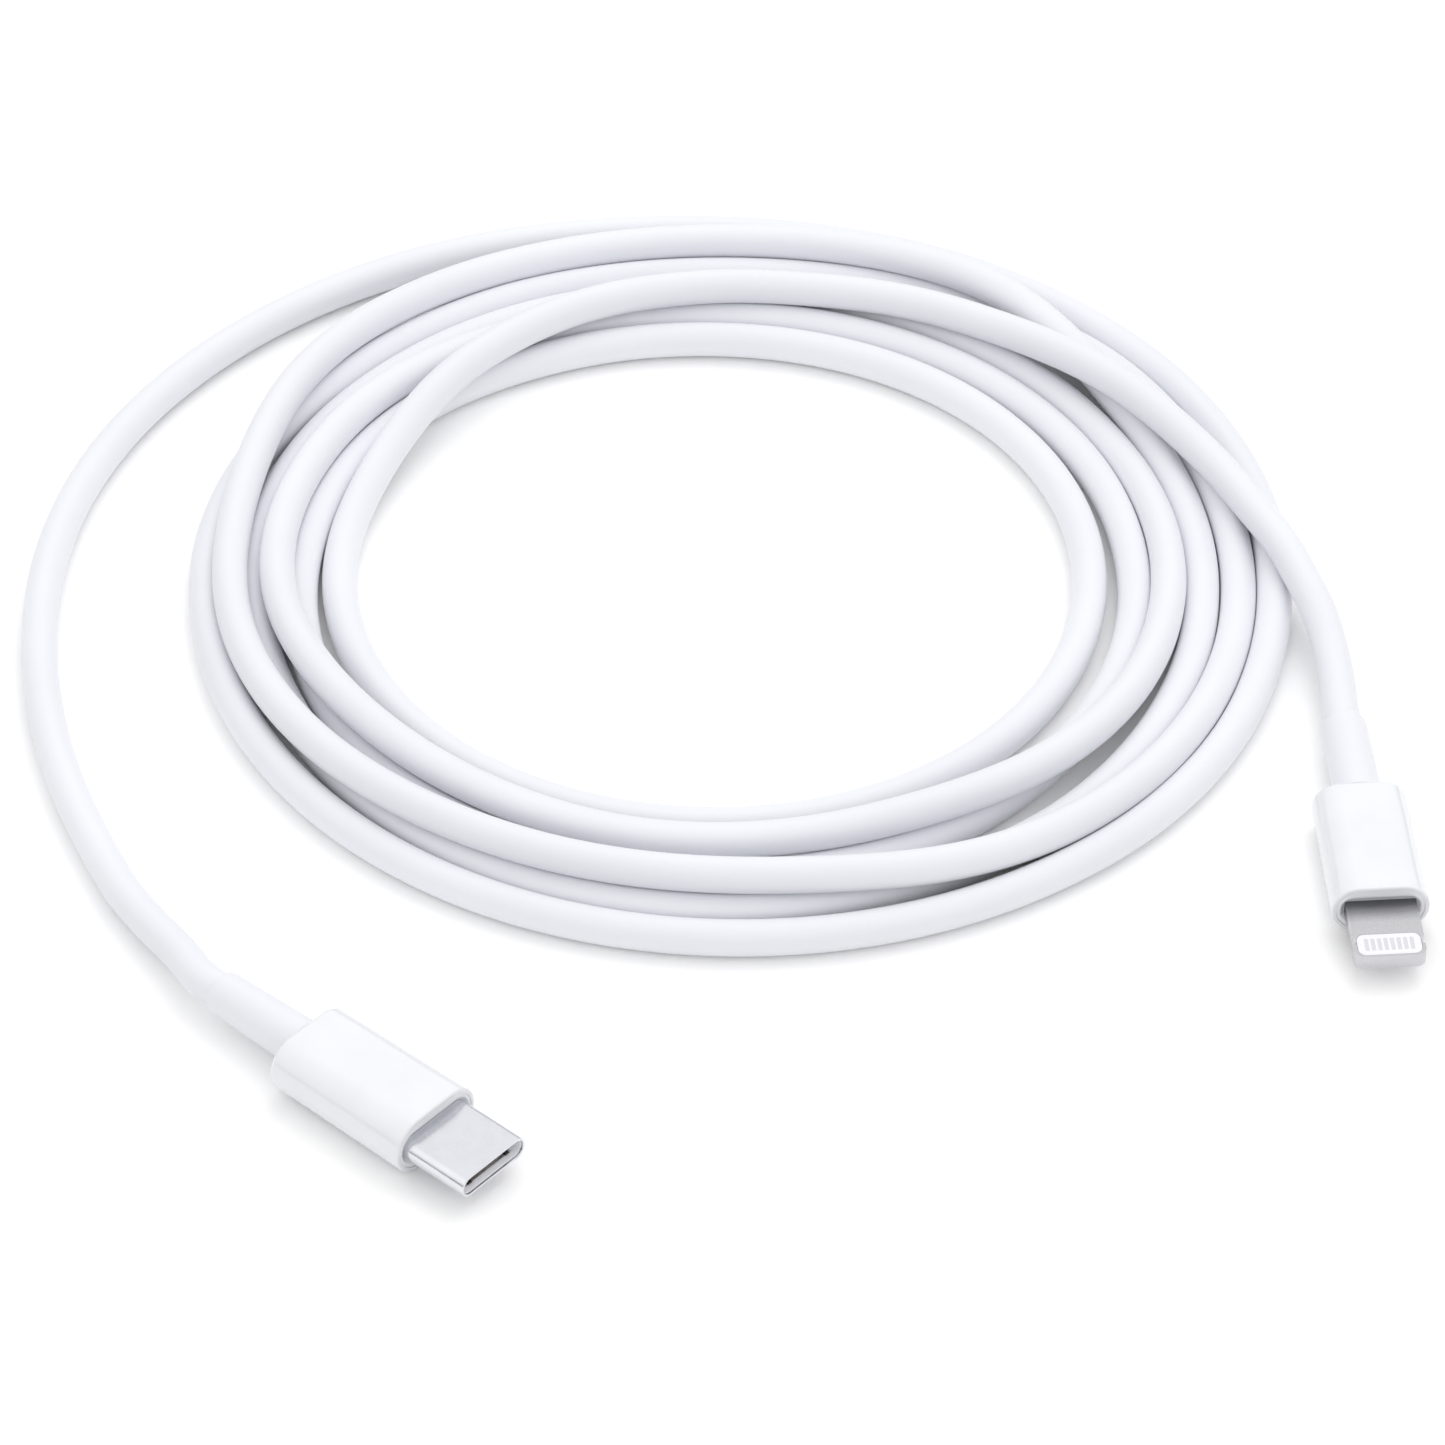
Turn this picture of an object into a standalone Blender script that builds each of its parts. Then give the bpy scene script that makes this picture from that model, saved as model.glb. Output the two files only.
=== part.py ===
"""Charging cable: a 2 m cord wound in a loose coil, with a reversible shell plug and a reversible tab plug.

The cable lies on a table. Each plug is built in a frame of its own, with +Z towards its nose, +X across
its width and +Y up, and is then laid on the table by the empty that its pieces are parented to.
"""

import math

import bmesh
import bpy
from mathutils import Matrix, Vector

MM = 0.001

# Clearances
FIT = 0.05 * MM
MEETING_GAP = 0.3 * MM

# Cord
CORD_DIAMETER = 3.5 * MM
CORD_TUBE_STEP = 8.0 * MM

# Coil, as the space that its turns fill
COIL_CENTRE = (-8.7 * MM, 54.4 * MM)
COIL_INNER_RADIUS = 35.9 * MM
COIL_OUTER_RADIUS = 55.3 * MM
COIL_HEIGHT = 9.0 * MM
COIL_EDGE_RADIUS = 1.75 * MM

# Route of the cord from the shell plug to the coil: x, y and the height of its centre
TYPE_C_TAIL = (
    (-59.7, 0.2, 2.3),
    (-63.8, 6.2, 1.9),
    (-69.0, 15.4, 1.8),
    (-73.1, 26.2, 1.8),
    (-75.6, 36.9, 1.8),
    (-76.6, 47.7, 1.8),
    (-76.3, 58.1, 1.8),
    (-74.6, 66.5, 1.8),
    (-71.7, 74.7, 1.8),
    (-67.9, 81.3, 1.8),
    (-63.5, 87.6, 1.8),
    (-58.2, 93.4, 1.8),
    (-52.7, 97.9, 1.8),
    (-45.0, 102.7, 1.8),
    (-37.6, 106.5, 1.8),
    (-29.6, 109.3, 1.8),
)

# Route of the cord from the tab plug to the coil
TAB_TAIL = (
    (50.0, 36.1, 2.8),
    (49.6, 41.5, 3.1),
    (48.8, 46.6, 3.6),
)

# Shell plug, lengths along its axis measured from the housing's front rim
TYPE_C_RIM = (-35.13 * MM, -23.57 * MM)
TYPE_C_YAW = -41.5
TYPE_C_HOUSING_WIDTH = 10.26 * MM
TYPE_C_HOUSING_HEIGHT = 6.0 * MM
TYPE_C_HOUSING_LENGTH = 16.4 * MM
TYPE_C_HOUSING_TAPER = 0.968
TYPE_C_HOUSING_WALL = 0.5 * MM
TYPE_C_BACK_WALL = 1.0 * MM
TYPE_C_SHELL_WIDTH = 8.25 * MM
TYPE_C_SHELL_HEIGHT = 2.4 * MM
TYPE_C_SHELL_WALL = 0.25 * MM
TYPE_C_SHELL_REACH = 7.1 * MM
TYPE_C_SHELL_ROOT = 4.4 * MM
TYPE_C_CARRIER_SETBACK = 0.45 * MM
TYPE_C_SLOT_WIDTH = 7.2 * MM
TYPE_C_SLOT_HEIGHT = 1.3 * MM
TYPE_C_CONTACT_PITCH = 0.5 * MM
TYPE_C_CONTACT_WIDTH = 0.22 * MM
TYPE_C_CONTACT_THICKNESS = 0.13 * MM
TYPE_C_CONTACT_REACH = 5.6 * MM
TYPE_C_UPPER_CONTACTS = (1, 4, 5, 6, 7, 9, 12)
TYPE_C_LOWER_CONTACTS = (1, 4, 5, 9, 12)
TYPE_C_LATCH_PIVOT = 3.4 * MM
TYPE_C_LATCH_LENGTH = 8.6 * MM
TYPE_C_LATCH_OFFSET = 2.96 * MM
TYPE_C_LATCH_THICKNESS = 0.16 * MM
TYPE_C_LATCH_HEIGHT = 0.42 * MM
TYPE_C_LATCH_HEAD = 0.3 * MM
TYPE_C_RELIEF_ROOT_RADIUS = 2.33 * MM
TYPE_C_RELIEF_TIP_RADIUS = 2.1 * MM
TYPE_C_RELIEF_LENGTH = 10.8 * MM
TYPE_C_BOARD_WIDTH = 7.4 * MM

# Tab plug, lengths along its axis measured from the housing's front rim
TAB_RIM = (52.12 * MM, 5.7 * MM)
TAB_YAW = -86.0
TAB_HOUSING_WIDTH = 9.28 * MM
TAB_HOUSING_HEIGHT = 5.4 * MM
TAB_HOUSING_LENGTH = 15.0 * MM
TAB_HOUSING_TAPER = 0.985
TAB_HOUSING_WALL = 0.45 * MM
TAB_BACK_WALL = 1.0 * MM
TAB_WIDTH = 6.7 * MM
TAB_THICKNESS = 1.5 * MM
TAB_REACH = 7.1 * MM
TAB_ROOT = 5.0 * MM
TAB_CORNER_RADIUS = 0.95 * MM
TAB_NOTCH_DEPTH = 0.35 * MM
TAB_NOTCH_LENGTH = 1.1 * MM
TAB_NOTCH_PLACE = 5.0 * MM
TAB_CHANNEL_SIDE = 0.85 * MM
TAB_CARRIER_WIDTH = TAB_WIDTH - 0.74 * MM
TAB_CARRIER_LENGTH = 2.7 * MM
TAB_CARRIER_INSET = 0.3 * MM
TAB_CARRIER_CORNER = 0.75 * MM
TAB_CONTACT_COUNT = 8
TAB_CONTACT_PITCH = (TAB_CARRIER_WIDTH - 1.08 * MM) / TAB_CONTACT_COUNT
TAB_CONTACT_WIDTH = 0.623 * TAB_CONTACT_PITCH
TAB_CONTACT_LENGTH = 1.6 * MM
TAB_CONTACT_THICKNESS = 0.16 * MM
TAB_RELIEF_ROOT_RADIUS = 2.3 * MM
TAB_RELIEF_TIP_RADIUS = 2.2 * MM
TAB_RELIEF_LENGTH = 10.6 * MM
TAB_BOARD_WIDTH = TAB_WIDTH - 0.5 * MM

# Pieces that both plugs have in the same size
RECESS_DEPTH = 0.3 * MM
NOSE_RING_THICKNESS = 1.2 * MM
RELIEF_BORE_RADIUS = 1.2 * MM
RELIEF_FLANGE_THICKNESS = 1.2 * MM
RELIEF_FLANGE_RADIUS = 2.1 * MM
RELIEF_NECK_RADIUS = 1.8 * MM
BOARD_THICKNESS = 0.8 * MM
CAN_WALL = 0.2 * MM
CAN_CLEARANCE = 0.08 * MM
CAN_BACK_HOLE_RADIUS = 1.4 * MM
CHIP_HEIGHT = 0.7 * MM
CHIP_SIDE = 2.2 * MM
WIRE_RADIUS = 0.3 * MM
RIM_ROUND = 0.35 * MM

WHITE_GLOSS = ("white_gloss_plastic", (0.94, 0.95, 0.97), 0.2, 0.0)
WHITE_MATT = ("white_matt_elastomer", (0.84, 0.85, 0.88), 0.55, 0.0)
RING_PLASTIC = ("pale_grey_plastic", (0.62, 0.63, 0.66), 0.4, 0.0)
STEEL = ("polished_steel", (0.77, 0.78, 0.8), 0.22, 1.0)
FRAME_METAL = ("satin_steel", (0.63, 0.63, 0.65), 0.38, 1.0)
SPRING_STEEL = ("spring_steel", (0.5, 0.5, 0.52), 0.35, 1.0)
CARRIER_PLASTIC = ("carrier_plastic", (0.9, 0.9, 0.93), 0.4, 0.0)
CONTACT_METAL = ("plated_contact", (0.72, 0.72, 0.76), 0.3, 1.0)
GOLD_CONTACT = ("gold_contact", (0.83, 0.65, 0.33), 0.25, 1.0)
BOARD_LAMINATE = ("board_laminate", (0.05, 0.22, 0.12), 0.5, 0.0)
CHIP_RESIN = ("chip_resin", (0.03, 0.03, 0.035), 0.5, 0.0)
CAN_STEEL = ("tinned_steel", (0.6, 0.61, 0.62), 0.4, 1.0)
WIRE_COLOURS = (
    ("red", (0.6, 0.04, 0.03)),
    ("black", (0.03, 0.03, 0.03)),
    ("green", (0.03, 0.35, 0.08)),
    ("white", (0.85, 0.85, 0.83)),
)


def clear_scene():
    for obj in list(bpy.data.objects):
        bpy.data.objects.remove(obj, do_unlink=True)


def make_collection(name):
    collection = bpy.data.collections.new(name)
    bpy.context.scene.collection.children.link(collection)
    return collection


def material(finish):
    name, colour, roughness, metallic = finish
    found = bpy.data.materials.get(name)
    if found:
        return found
    made = bpy.data.materials.new(name)
    made.use_nodes = True
    shader = made.node_tree.nodes["Principled BSDF"]
    shader.inputs["Base Color"].default_value = (*colour, 1.0)
    shader.inputs["Roughness"].default_value = roughness
    shader.inputs["Metallic"].default_value = metallic
    made.diffuse_color = (*colour, 1.0)
    return made


def add(name, data, finish, parent=None):
    """Put a sub-part in the cable's collection, with its material and its parent."""
    obj = bpy.data.objects.new(name, data)
    PARTS.objects.link(obj)
    data.materials.clear()
    data.materials.append(material(finish))
    obj.parent = parent
    return obj


def add_cutter(name, mesh, parent):
    obj = bpy.data.objects.new(name, mesh)
    CUTTERS.objects.link(obj)
    obj.parent = parent
    obj.hide_render = True
    obj.display_type = "WIRE"
    return obj


def add_boolean(obj, other, operation="DIFFERENCE"):
    modifier = obj.modifiers.new(operation.title(), "BOOLEAN")
    modifier.operation = operation
    modifier.solver = "EXACT"
    modifier.object = other


def round_rims(obj, width):
    """Round the sharp edges of an extruded solid."""
    bevel = obj.modifiers.new("Rims", "BEVEL")
    bevel.width = width
    bevel.segments = 2
    bevel.limit_method = "ANGLE"
    bevel.angle_limit = math.radians(50)


def smooth(mesh):
    mesh.shade_smooth()
    mesh.set_sharp_from_angle(angle=math.radians(35))


def rounded_outline(width, height, corner, steps=6, centre=(0.0, 0.0)):
    """Points of a rectangle with round corners, anticlockwise. A stadium has a corner of half its height."""
    points = []
    for quarter, (side, top) in enumerate(((1, 1), (-1, 1), (-1, -1), (1, -1))):
        for step in range(steps + 1):
            angle = math.radians(90 * (quarter + step / steps))
            x = side * (width / 2 - corner) + corner * math.cos(angle)
            y = top * (height / 2 - corner) + corner * math.sin(angle)
            points.append((centre[0] + x, centre[1] + y))
    return points


def outline_curve(name, outlines, thickness):
    """A flat outline, with any holes as further outlines, given a thickness."""
    curve = bpy.data.curves.new(name, "CURVE")
    curve.dimensions = "2D"
    curve.fill_mode = "BOTH"
    curve.extrude = thickness / 2
    for outline in outlines:
        spline = curve.splines.new("POLY")
        spline.points.add(len(outline) - 1)
        for point, (x, y) in zip(spline.points, outline):
            point.co = (x, y, 0.0, 1.0)
        spline.use_cyclic_u = True
    return curve


def curve_to_mesh(curve, turn=None):
    """The closed mesh of a curve, turned if asked."""
    guide = bpy.data.objects.new(curve.name + "_guide", curve)
    PARTS.objects.link(guide)
    graph = bpy.context.evaluated_depsgraph_get()
    mesh = bpy.data.meshes.new_from_object(guide.evaluated_get(graph))
    mesh.name = curve.name
    bpy.data.objects.remove(guide)
    edit = bmesh.new()
    edit.from_mesh(mesh)
    bmesh.ops.remove_doubles(edit, verts=edit.verts, dist=0.001 * MM)
    bmesh.ops.recalc_face_normals(edit, faces=edit.faces)
    edit.to_mesh(mesh)
    edit.free()
    if turn:
        mesh.transform(turn)
    return mesh


def prism(name, outlines, back, front):
    """A solid of constant section along the plug's axis, from back to front."""
    place = Matrix.Translation((0.0, 0.0, (back + front) / 2))
    return curve_to_mesh(outline_curve(name, outlines, front - back), place)


def taper(mesh, length, scale):
    """Narrow a plug's housing evenly from its rim to its back."""
    for vertex in mesh.vertices:
        share = 1.0 + (scale - 1.0) * min(max(-vertex.co.z / length, 0.0), 1.05)
        vertex.co.x *= share
        vertex.co.y *= share
    return mesh


def box_mesh(name, low, high):
    low, high = Vector(low), Vector(high)
    size, middle = high - low, (high + low) / 2
    edit = bmesh.new()
    bmesh.ops.create_cube(edit, size=1.0, matrix=Matrix.Translation(middle) @ Matrix.Diagonal((*size, 1.0)))
    mesh = bpy.data.meshes.new(name)
    edit.to_mesh(mesh)
    edit.free()
    return mesh


def boxes_mesh(name, boxes):
    """Separate boxes in one mesh, for a cutter that makes a row of pockets."""
    edit = bmesh.new()
    for low, high in boxes:
        size, middle = Vector(high) - Vector(low), (Vector(high) + Vector(low)) / 2
        place = Matrix.Translation(middle) @ Matrix.Diagonal((*size, 1.0))
        bmesh.ops.create_cube(edit, size=1.0, matrix=place)
    mesh = bpy.data.meshes.new(name)
    edit.to_mesh(mesh)
    edit.free()
    return mesh


def cylinder_mesh(name, radius, back, front, segments=32):
    edit = bmesh.new()
    bmesh.ops.create_cone(
        edit,
        cap_ends=True,
        segments=segments,
        radius1=radius,
        radius2=radius,
        depth=front - back,
        matrix=Matrix.Translation((0.0, 0.0, (front + back) / 2)),
    )
    mesh = bpy.data.meshes.new(name)
    edit.to_mesh(mesh)
    edit.free()
    return mesh


def turned(name, profile, finish, parent=None, steps=32):
    """A closed profile of radius and height, turned about the Z axis."""
    mesh = bpy.data.meshes.new(name)
    vertices = [(radius, 0.0, height) for radius, height in profile]
    edges = [(i, (i + 1) % len(profile)) for i in range(len(profile))]
    mesh.from_pydata(vertices, edges, [])
    obj = add(name, mesh, finish, parent)
    screw = obj.modifiers.new("Turn", "SCREW")
    screw.axis = "Z"
    screw.steps = steps
    screw.render_steps = steps
    screw.use_merge_vertices = True
    screw.merge_threshold = 0.001 * MM
    screw.use_smooth_shade = True
    return obj


def tube(name, points, radius, resolution, finish, parent=None):
    """A round cord or wire along its points."""
    curve = bpy.data.curves.new(name, "CURVE")
    curve.dimensions = "3D"
    curve.bevel_depth = radius
    curve.bevel_resolution = resolution
    curve.use_fill_caps = True
    spline = curve.splines.new("POLY")
    spline.points.add(len(points) - 1)
    for point, place in zip(spline.points, points):
        point.co = (*place, 1.0)
    spline.use_smooth = True
    return add(name, curve, finish, parent)


def smooth_route(points, step):
    """Evenly spaced points on a smooth curve through the route's own points."""
    ends = [points[0] * 2 - points[1], *points, points[-1] * 2 - points[-2]]
    fine = []
    for before, start, end, after in zip(ends, ends[1:], ends[2:], ends[3:]):
        for part in range(24):
            t = part / 24
            fine.append(
                0.5
                * (
                    2 * start
                    + (end - before) * t
                    + (2 * before - 5 * start + 4 * end - after) * t**2
                    + (3 * start - before - 3 * end + after) * t**3
                )
            )
    fine.append(points[-1])
    lengths = [(b - a).length for a, b in zip(fine, fine[1:])]
    count = max(2, round(sum(lengths) / step))
    spaced, travelled, index = [fine[0]], 0.0, 0
    for number in range(1, count):
        wanted = sum(lengths) * number / count
        while travelled + lengths[index] < wanted:
            travelled += lengths[index]
            index += 1
        share = (wanted - travelled) / lengths[index]
        spaced.append(fine[index].lerp(fine[index + 1], share))
    return [*spaced, fine[-1]]


def plug_frame(name, rim, height, yaw):
    """An empty at the centre of a plug's front rim, with +Z towards its nose and +Y up."""
    nose = Vector((math.cos(math.radians(yaw)), math.sin(math.radians(yaw)), 0.0))
    up = Vector((0.0, 0.0, 1.0))
    across = up.cross(nose)
    turn = Matrix((across, up, nose)).transposed().to_4x4()
    empty = bpy.data.objects.new(name, None)
    PARTS.objects.link(empty)
    empty.matrix_world = Matrix.Translation((rim[0], rim[1], height / 2)) @ turn
    return empty


def in_world(parent, place):
    return parent.matrix_world @ Vector(place)


def make_housing(name, parent, width, height, length, scale, wall, back_wall):
    """A moulded sleeve with an open nose and a round hole in its back for the strain relief."""
    outer = rounded_outline(width, height, height / 2 - FIT, 8)
    housing = add(name, taper(prism(name, [outer], -length, 0.0), length, scale), WHITE_GLOSS, parent)
    smooth(housing.data)
    round_rims(housing, RIM_ROUND)
    inner = cavity_outline(width, height, wall)
    cavity = taper(prism(name + "_cavity", [inner], back_wall - length, 1.0 * MM), length, scale)
    add_boolean(housing, add_cutter(name + "_cavity", cavity, parent))
    hole_radius = RELIEF_NECK_RADIUS + FIT
    hole = cylinder_mesh(name + "_back_hole", hole_radius, -length - 1.0 * MM, -length + back_wall + 1.0 * MM)
    add_boolean(housing, add_cutter(name + "_back_hole", hole, parent))


def cavity_outline(width, height, wall, clearance=0.0):
    inner_height = height - 2 * (wall + clearance)
    return rounded_outline(width - 2 * (wall + clearance), inner_height, inner_height / 2 - FIT, 8)


def make_nose_ring(name, parent, size, wall, length, scale, slot):
    """The ring that closes the housing's nose round the metal plug."""
    outer = cavity_outline(*size, wall, FIT)
    back = -RECESS_DEPTH - NOSE_RING_THICKNESS
    mesh = taper(prism(name, [outer, slot], back, -RECESS_DEPTH), length, scale)
    smooth(mesh)
    add(name, mesh, RING_PLASTIC, parent)


def make_can(name, parent, size, wall, scale, back):
    """The drawn steel can round the board, open at the front and holed at the back for the wires."""
    front = -RECESS_DEPTH - NOSE_RING_THICKNESS - CAN_CLEARANCE
    width, height = size[0] * scale, size[1] * scale
    outer = cavity_outline(width, height, wall, CAN_CLEARANCE)
    can = add(name, prism(name, [outer], back, front), CAN_STEEL, parent)
    smooth(can.data)
    inner = cavity_outline(width, height, wall, CAN_CLEARANCE + CAN_WALL)
    hollow = prism(name + "_hollow", [inner], back + CAN_WALL, front + 1.0 * MM)
    add_boolean(can, add_cutter(name + "_hollow", hollow, parent))
    hole = cylinder_mesh(name + "_hole", CAN_BACK_HOLE_RADIUS, back - 1.0 * MM, back + 1.0 * MM, 24)
    add_boolean(can, add_cutter(name + "_hole", hole, parent))


def make_relief(name, parent, housing_length, back_wall, root, tip, length):
    """The tapered sleeve on the cord, with a flange that the housing's back wall holds."""
    flange_back = -housing_length + back_wall + FIT
    flange_front = flange_back + RELIEF_FLANGE_THICKNESS
    end = -housing_length - length
    bore = RELIEF_BORE_RADIUS
    profile = (
        (RELIEF_FLANGE_RADIUS, flange_front),
        (RELIEF_FLANGE_RADIUS, flange_back),
        (RELIEF_NECK_RADIUS, flange_back),
        (RELIEF_NECK_RADIUS, -housing_length - FIT),
        (root, -housing_length - FIT),
        ((root + tip) / 2, end + length / 2),
        (tip, end + 0.4 * MM),
        (tip - 0.1 * MM, end + 0.12 * MM),
        (tip - 0.3 * MM, end),
        (bore, end),
        (bore, flange_front),
    )
    turned(name, profile, WHITE_MATT, parent)
    return flange_front


def make_wires(prefix, parent, start, pad_place, board_top):
    """Four wires from the cord's end to the pads on both faces of the board."""
    spread = 0.45 * MM
    for (colour, rgb), (side, face) in zip(WIRE_COLOURS, ((1, 1), (-1, 1), (1, -1), (-1, -1))):
        end_height = board_top + WIRE_RADIUS + FIT
        route = (
            (side * spread, face * spread, start + FIT),
            (side * spread, face * spread, start + 0.7 * MM),
            (side * 1.0 * MM, face * end_height, start + 2.0 * MM),
            (side * 1.4 * MM, face * end_height, pad_place),
        )
        finish = (f"wire_{colour}", rgb, 0.45, 0.0)
        tube(f"{prefix}_wire_{colour}", [Vector(p) for p in route], WIRE_RADIUS, 1, finish, parent)


def type_c_contact_curve():
    """One contact beam seen from its side: a straight blade, and a step out to the board's face."""
    low = TYPE_C_SLOT_HEIGHT / 2 - FIT - TYPE_C_CONTACT_THICKNESS
    high = low + TYPE_C_CONTACT_THICKNESS
    foot_low = BOARD_THICKNESS / 2 + FIT
    foot_high = foot_low + TYPE_C_CONTACT_THICKNESS
    step_front = -TYPE_C_SHELL_ROOT + 0.05 * MM
    step_back = -TYPE_C_SHELL_ROOT - 0.35 * MM
    foot_back = step_back - 1.0 * MM
    outline = (
        (TYPE_C_CONTACT_REACH, low),
        (TYPE_C_CONTACT_REACH, high),
        (step_front, high),
        (step_back, foot_high),
        (foot_back, foot_high),
        (foot_back, foot_low),
        (step_back - 0.05 * MM, foot_low),
        (step_front - 0.05 * MM, low),
    )
    return outline_curve("type_c_contact_beam", [outline], TYPE_C_CONTACT_WIDTH)


def make_type_c_contacts(parent):
    beam = type_c_contact_curve()
    for row, numbers in (("upper", TYPE_C_UPPER_CONTACTS), ("lower", TYPE_C_LOWER_CONTACTS)):
        for number in numbers:
            contact = add(f"type_c_contact_{row}_{number:02d}", beam, GOLD_CONTACT, parent)
            across = (number - 6.5) * TYPE_C_CONTACT_PITCH
            contact.location = (across, 0.0, 0.0)
            contact.rotation_euler = (0.0, -math.pi / 2, 0.0 if row == "upper" else math.pi)


def make_type_c_latches(parent):
    """Two side springs, each with its origin on the line that it bends about."""
    half = TYPE_C_LATCH_THICKNESS / 2
    length = TYPE_C_LATCH_LENGTH
    outline = (
        (half, -0.3 * MM),
        (half, length),
        (-half, length),
        (-half - TYPE_C_LATCH_HEAD, length - 0.35 * MM),
        (-half - TYPE_C_LATCH_HEAD, length - 0.65 * MM),
        (-half, length - 1.1 * MM),
        (-half, -0.3 * MM),
    )
    strip = outline_curve("type_c_latch_strip", [outline], TYPE_C_LATCH_HEIGHT)
    mesh = curve_to_mesh(strip, Matrix.Rotation(math.pi / 2, 4, "X"))
    for side, sign in (("left", 1), ("right", -1)):
        latch = add(f"type_c_latch_{side}", mesh, SPRING_STEEL, parent)
        latch.location = (sign * (TYPE_C_LATCH_OFFSET + half), 0.0, -TYPE_C_LATCH_PIVOT)
        latch.rotation_euler = (0.0, 0.0, 0.0 if sign == 1 else math.pi)


def make_ground_springs(parent):
    """A thin bar with two pads across each inner face of the mouth."""
    top = TYPE_C_SLOT_HEIGHT / 2 - FIT
    bar = top - 0.09 * MM
    pad = bar - 0.14 * MM
    half = 2.95 * MM
    pad_place, pad_half = 2.45 * MM, 0.3 * MM
    outline = (
        (-half, top),
        (-half, bar),
        (-pad_place - pad_half, bar),
        (-pad_place - pad_half / 2, pad),
        (-pad_place + pad_half / 2, pad),
        (-pad_place + pad_half, bar),
        (pad_place - pad_half, bar),
        (pad_place - pad_half / 2, pad),
        (pad_place + pad_half / 2, pad),
        (pad_place + pad_half, bar),
        (half, bar),
        (half, top),
    )
    back = TYPE_C_CONTACT_REACH + 0.15 * MM
    front = TYPE_C_SHELL_REACH - TYPE_C_CARRIER_SETBACK - 0.2 * MM
    mesh = prism("type_c_ground_spring", [outline], back, front)
    for face, turn in (("top", 0.0), ("bottom", math.pi)):
        spring = add(f"type_c_ground_spring_{face}", mesh, SPRING_STEEL, parent)
        spring.rotation_euler = (0.0, 0.0, turn)


def make_board(prefix, parent, width, front, back):
    """The circuit board, with its controller chip on its upper face."""
    half = BOARD_THICKNESS / 2
    board = box_mesh(f"{prefix}_board", (-width / 2, -half, back), (width / 2, half, front))
    add(f"{prefix}_board", board, BOARD_LAMINATE, parent)
    middle = (front + back) / 2
    low = (-CHIP_SIDE / 2, half + FIT, middle - CHIP_SIDE / 2)
    high = (CHIP_SIDE / 2, half + FIT + CHIP_HEIGHT, middle + CHIP_SIDE / 2)
    add(f"{prefix}_controller_chip", box_mesh(f"{prefix}_controller_chip", low, high), CHIP_RESIN, parent)


def make_type_c_plug():
    parent = plug_frame("type_c_plug_frame", TYPE_C_RIM, TYPE_C_HOUSING_HEIGHT, TYPE_C_YAW)
    size = (TYPE_C_HOUSING_WIDTH, TYPE_C_HOUSING_HEIGHT)
    length, scale = TYPE_C_HOUSING_LENGTH, TYPE_C_HOUSING_TAPER
    make_housing("type_c_housing", parent, *size, length, scale, TYPE_C_HOUSING_WALL, TYPE_C_BACK_WALL)

    width, height = TYPE_C_SHELL_WIDTH, TYPE_C_SHELL_HEIGHT
    ring_slot = rounded_outline(width + 2 * FIT, height + 2 * FIT, height / 2, 8)
    make_nose_ring("type_c_nose_ring", parent, size, TYPE_C_HOUSING_WALL, length, scale, ring_slot)

    outside = rounded_outline(width, height, height / 2 - FIT, 8)
    wall = TYPE_C_SHELL_WALL
    inner_width, inner_height = width - 2 * wall, height - 2 * wall
    inside = rounded_outline(inner_width, inner_height, inner_height / 2 - FIT, 8)
    shell = prism("type_c_shell", [outside, inside], -TYPE_C_SHELL_ROOT, TYPE_C_SHELL_REACH)
    smooth(shell)
    add("type_c_shell", shell, STEEL, parent)

    carrier_height = inner_height - 2 * FIT
    body = rounded_outline(inner_width - 2 * FIT, carrier_height, carrier_height / 2 - FIT, 8)
    slot_height = TYPE_C_SLOT_HEIGHT
    slot = rounded_outline(TYPE_C_SLOT_WIDTH, slot_height, slot_height / 2 - FIT, 6)
    carrier_front = TYPE_C_SHELL_REACH - TYPE_C_CARRIER_SETBACK
    carrier = prism("type_c_contact_carrier", [body, slot], -TYPE_C_SHELL_ROOT + 0.2 * MM, carrier_front)
    add("type_c_contact_carrier", carrier, CARRIER_PLASTIC, parent)

    spacer_half = slot_height / 2 - 2 * FIT - TYPE_C_CONTACT_THICKNESS
    spacer_low = (-2.8 * MM, -spacer_half, -TYPE_C_SHELL_ROOT + 0.2 * MM)
    spacer_high = (2.8 * MM, spacer_half, 0.7 * MM)
    add("type_c_row_spacer", box_mesh("type_c_row_spacer", spacer_low, spacer_high), CARRIER_PLASTIC, parent)

    make_type_c_contacts(parent)
    make_type_c_latches(parent)
    make_ground_springs(parent)

    can_back = -length + TYPE_C_BACK_WALL + RELIEF_FLANGE_THICKNESS + 2 * FIT
    board_front = -TYPE_C_SHELL_ROOT - 0.45 * MM
    board_back = can_back + 2.2 * MM
    make_board("type_c", parent, TYPE_C_BOARD_WIDTH, board_front, board_back)
    make_can("type_c_shield_can", parent, size, TYPE_C_HOUSING_WALL, scale, can_back)
    relief_front = make_relief(
        "type_c_strain_relief", parent, length, TYPE_C_BACK_WALL,
        TYPE_C_RELIEF_ROOT_RADIUS, TYPE_C_RELIEF_TIP_RADIUS, TYPE_C_RELIEF_LENGTH,
    )
    make_wires("type_c", parent, relief_front, board_back + 0.9 * MM, BOARD_THICKNESS / 2)
    return parent


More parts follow.
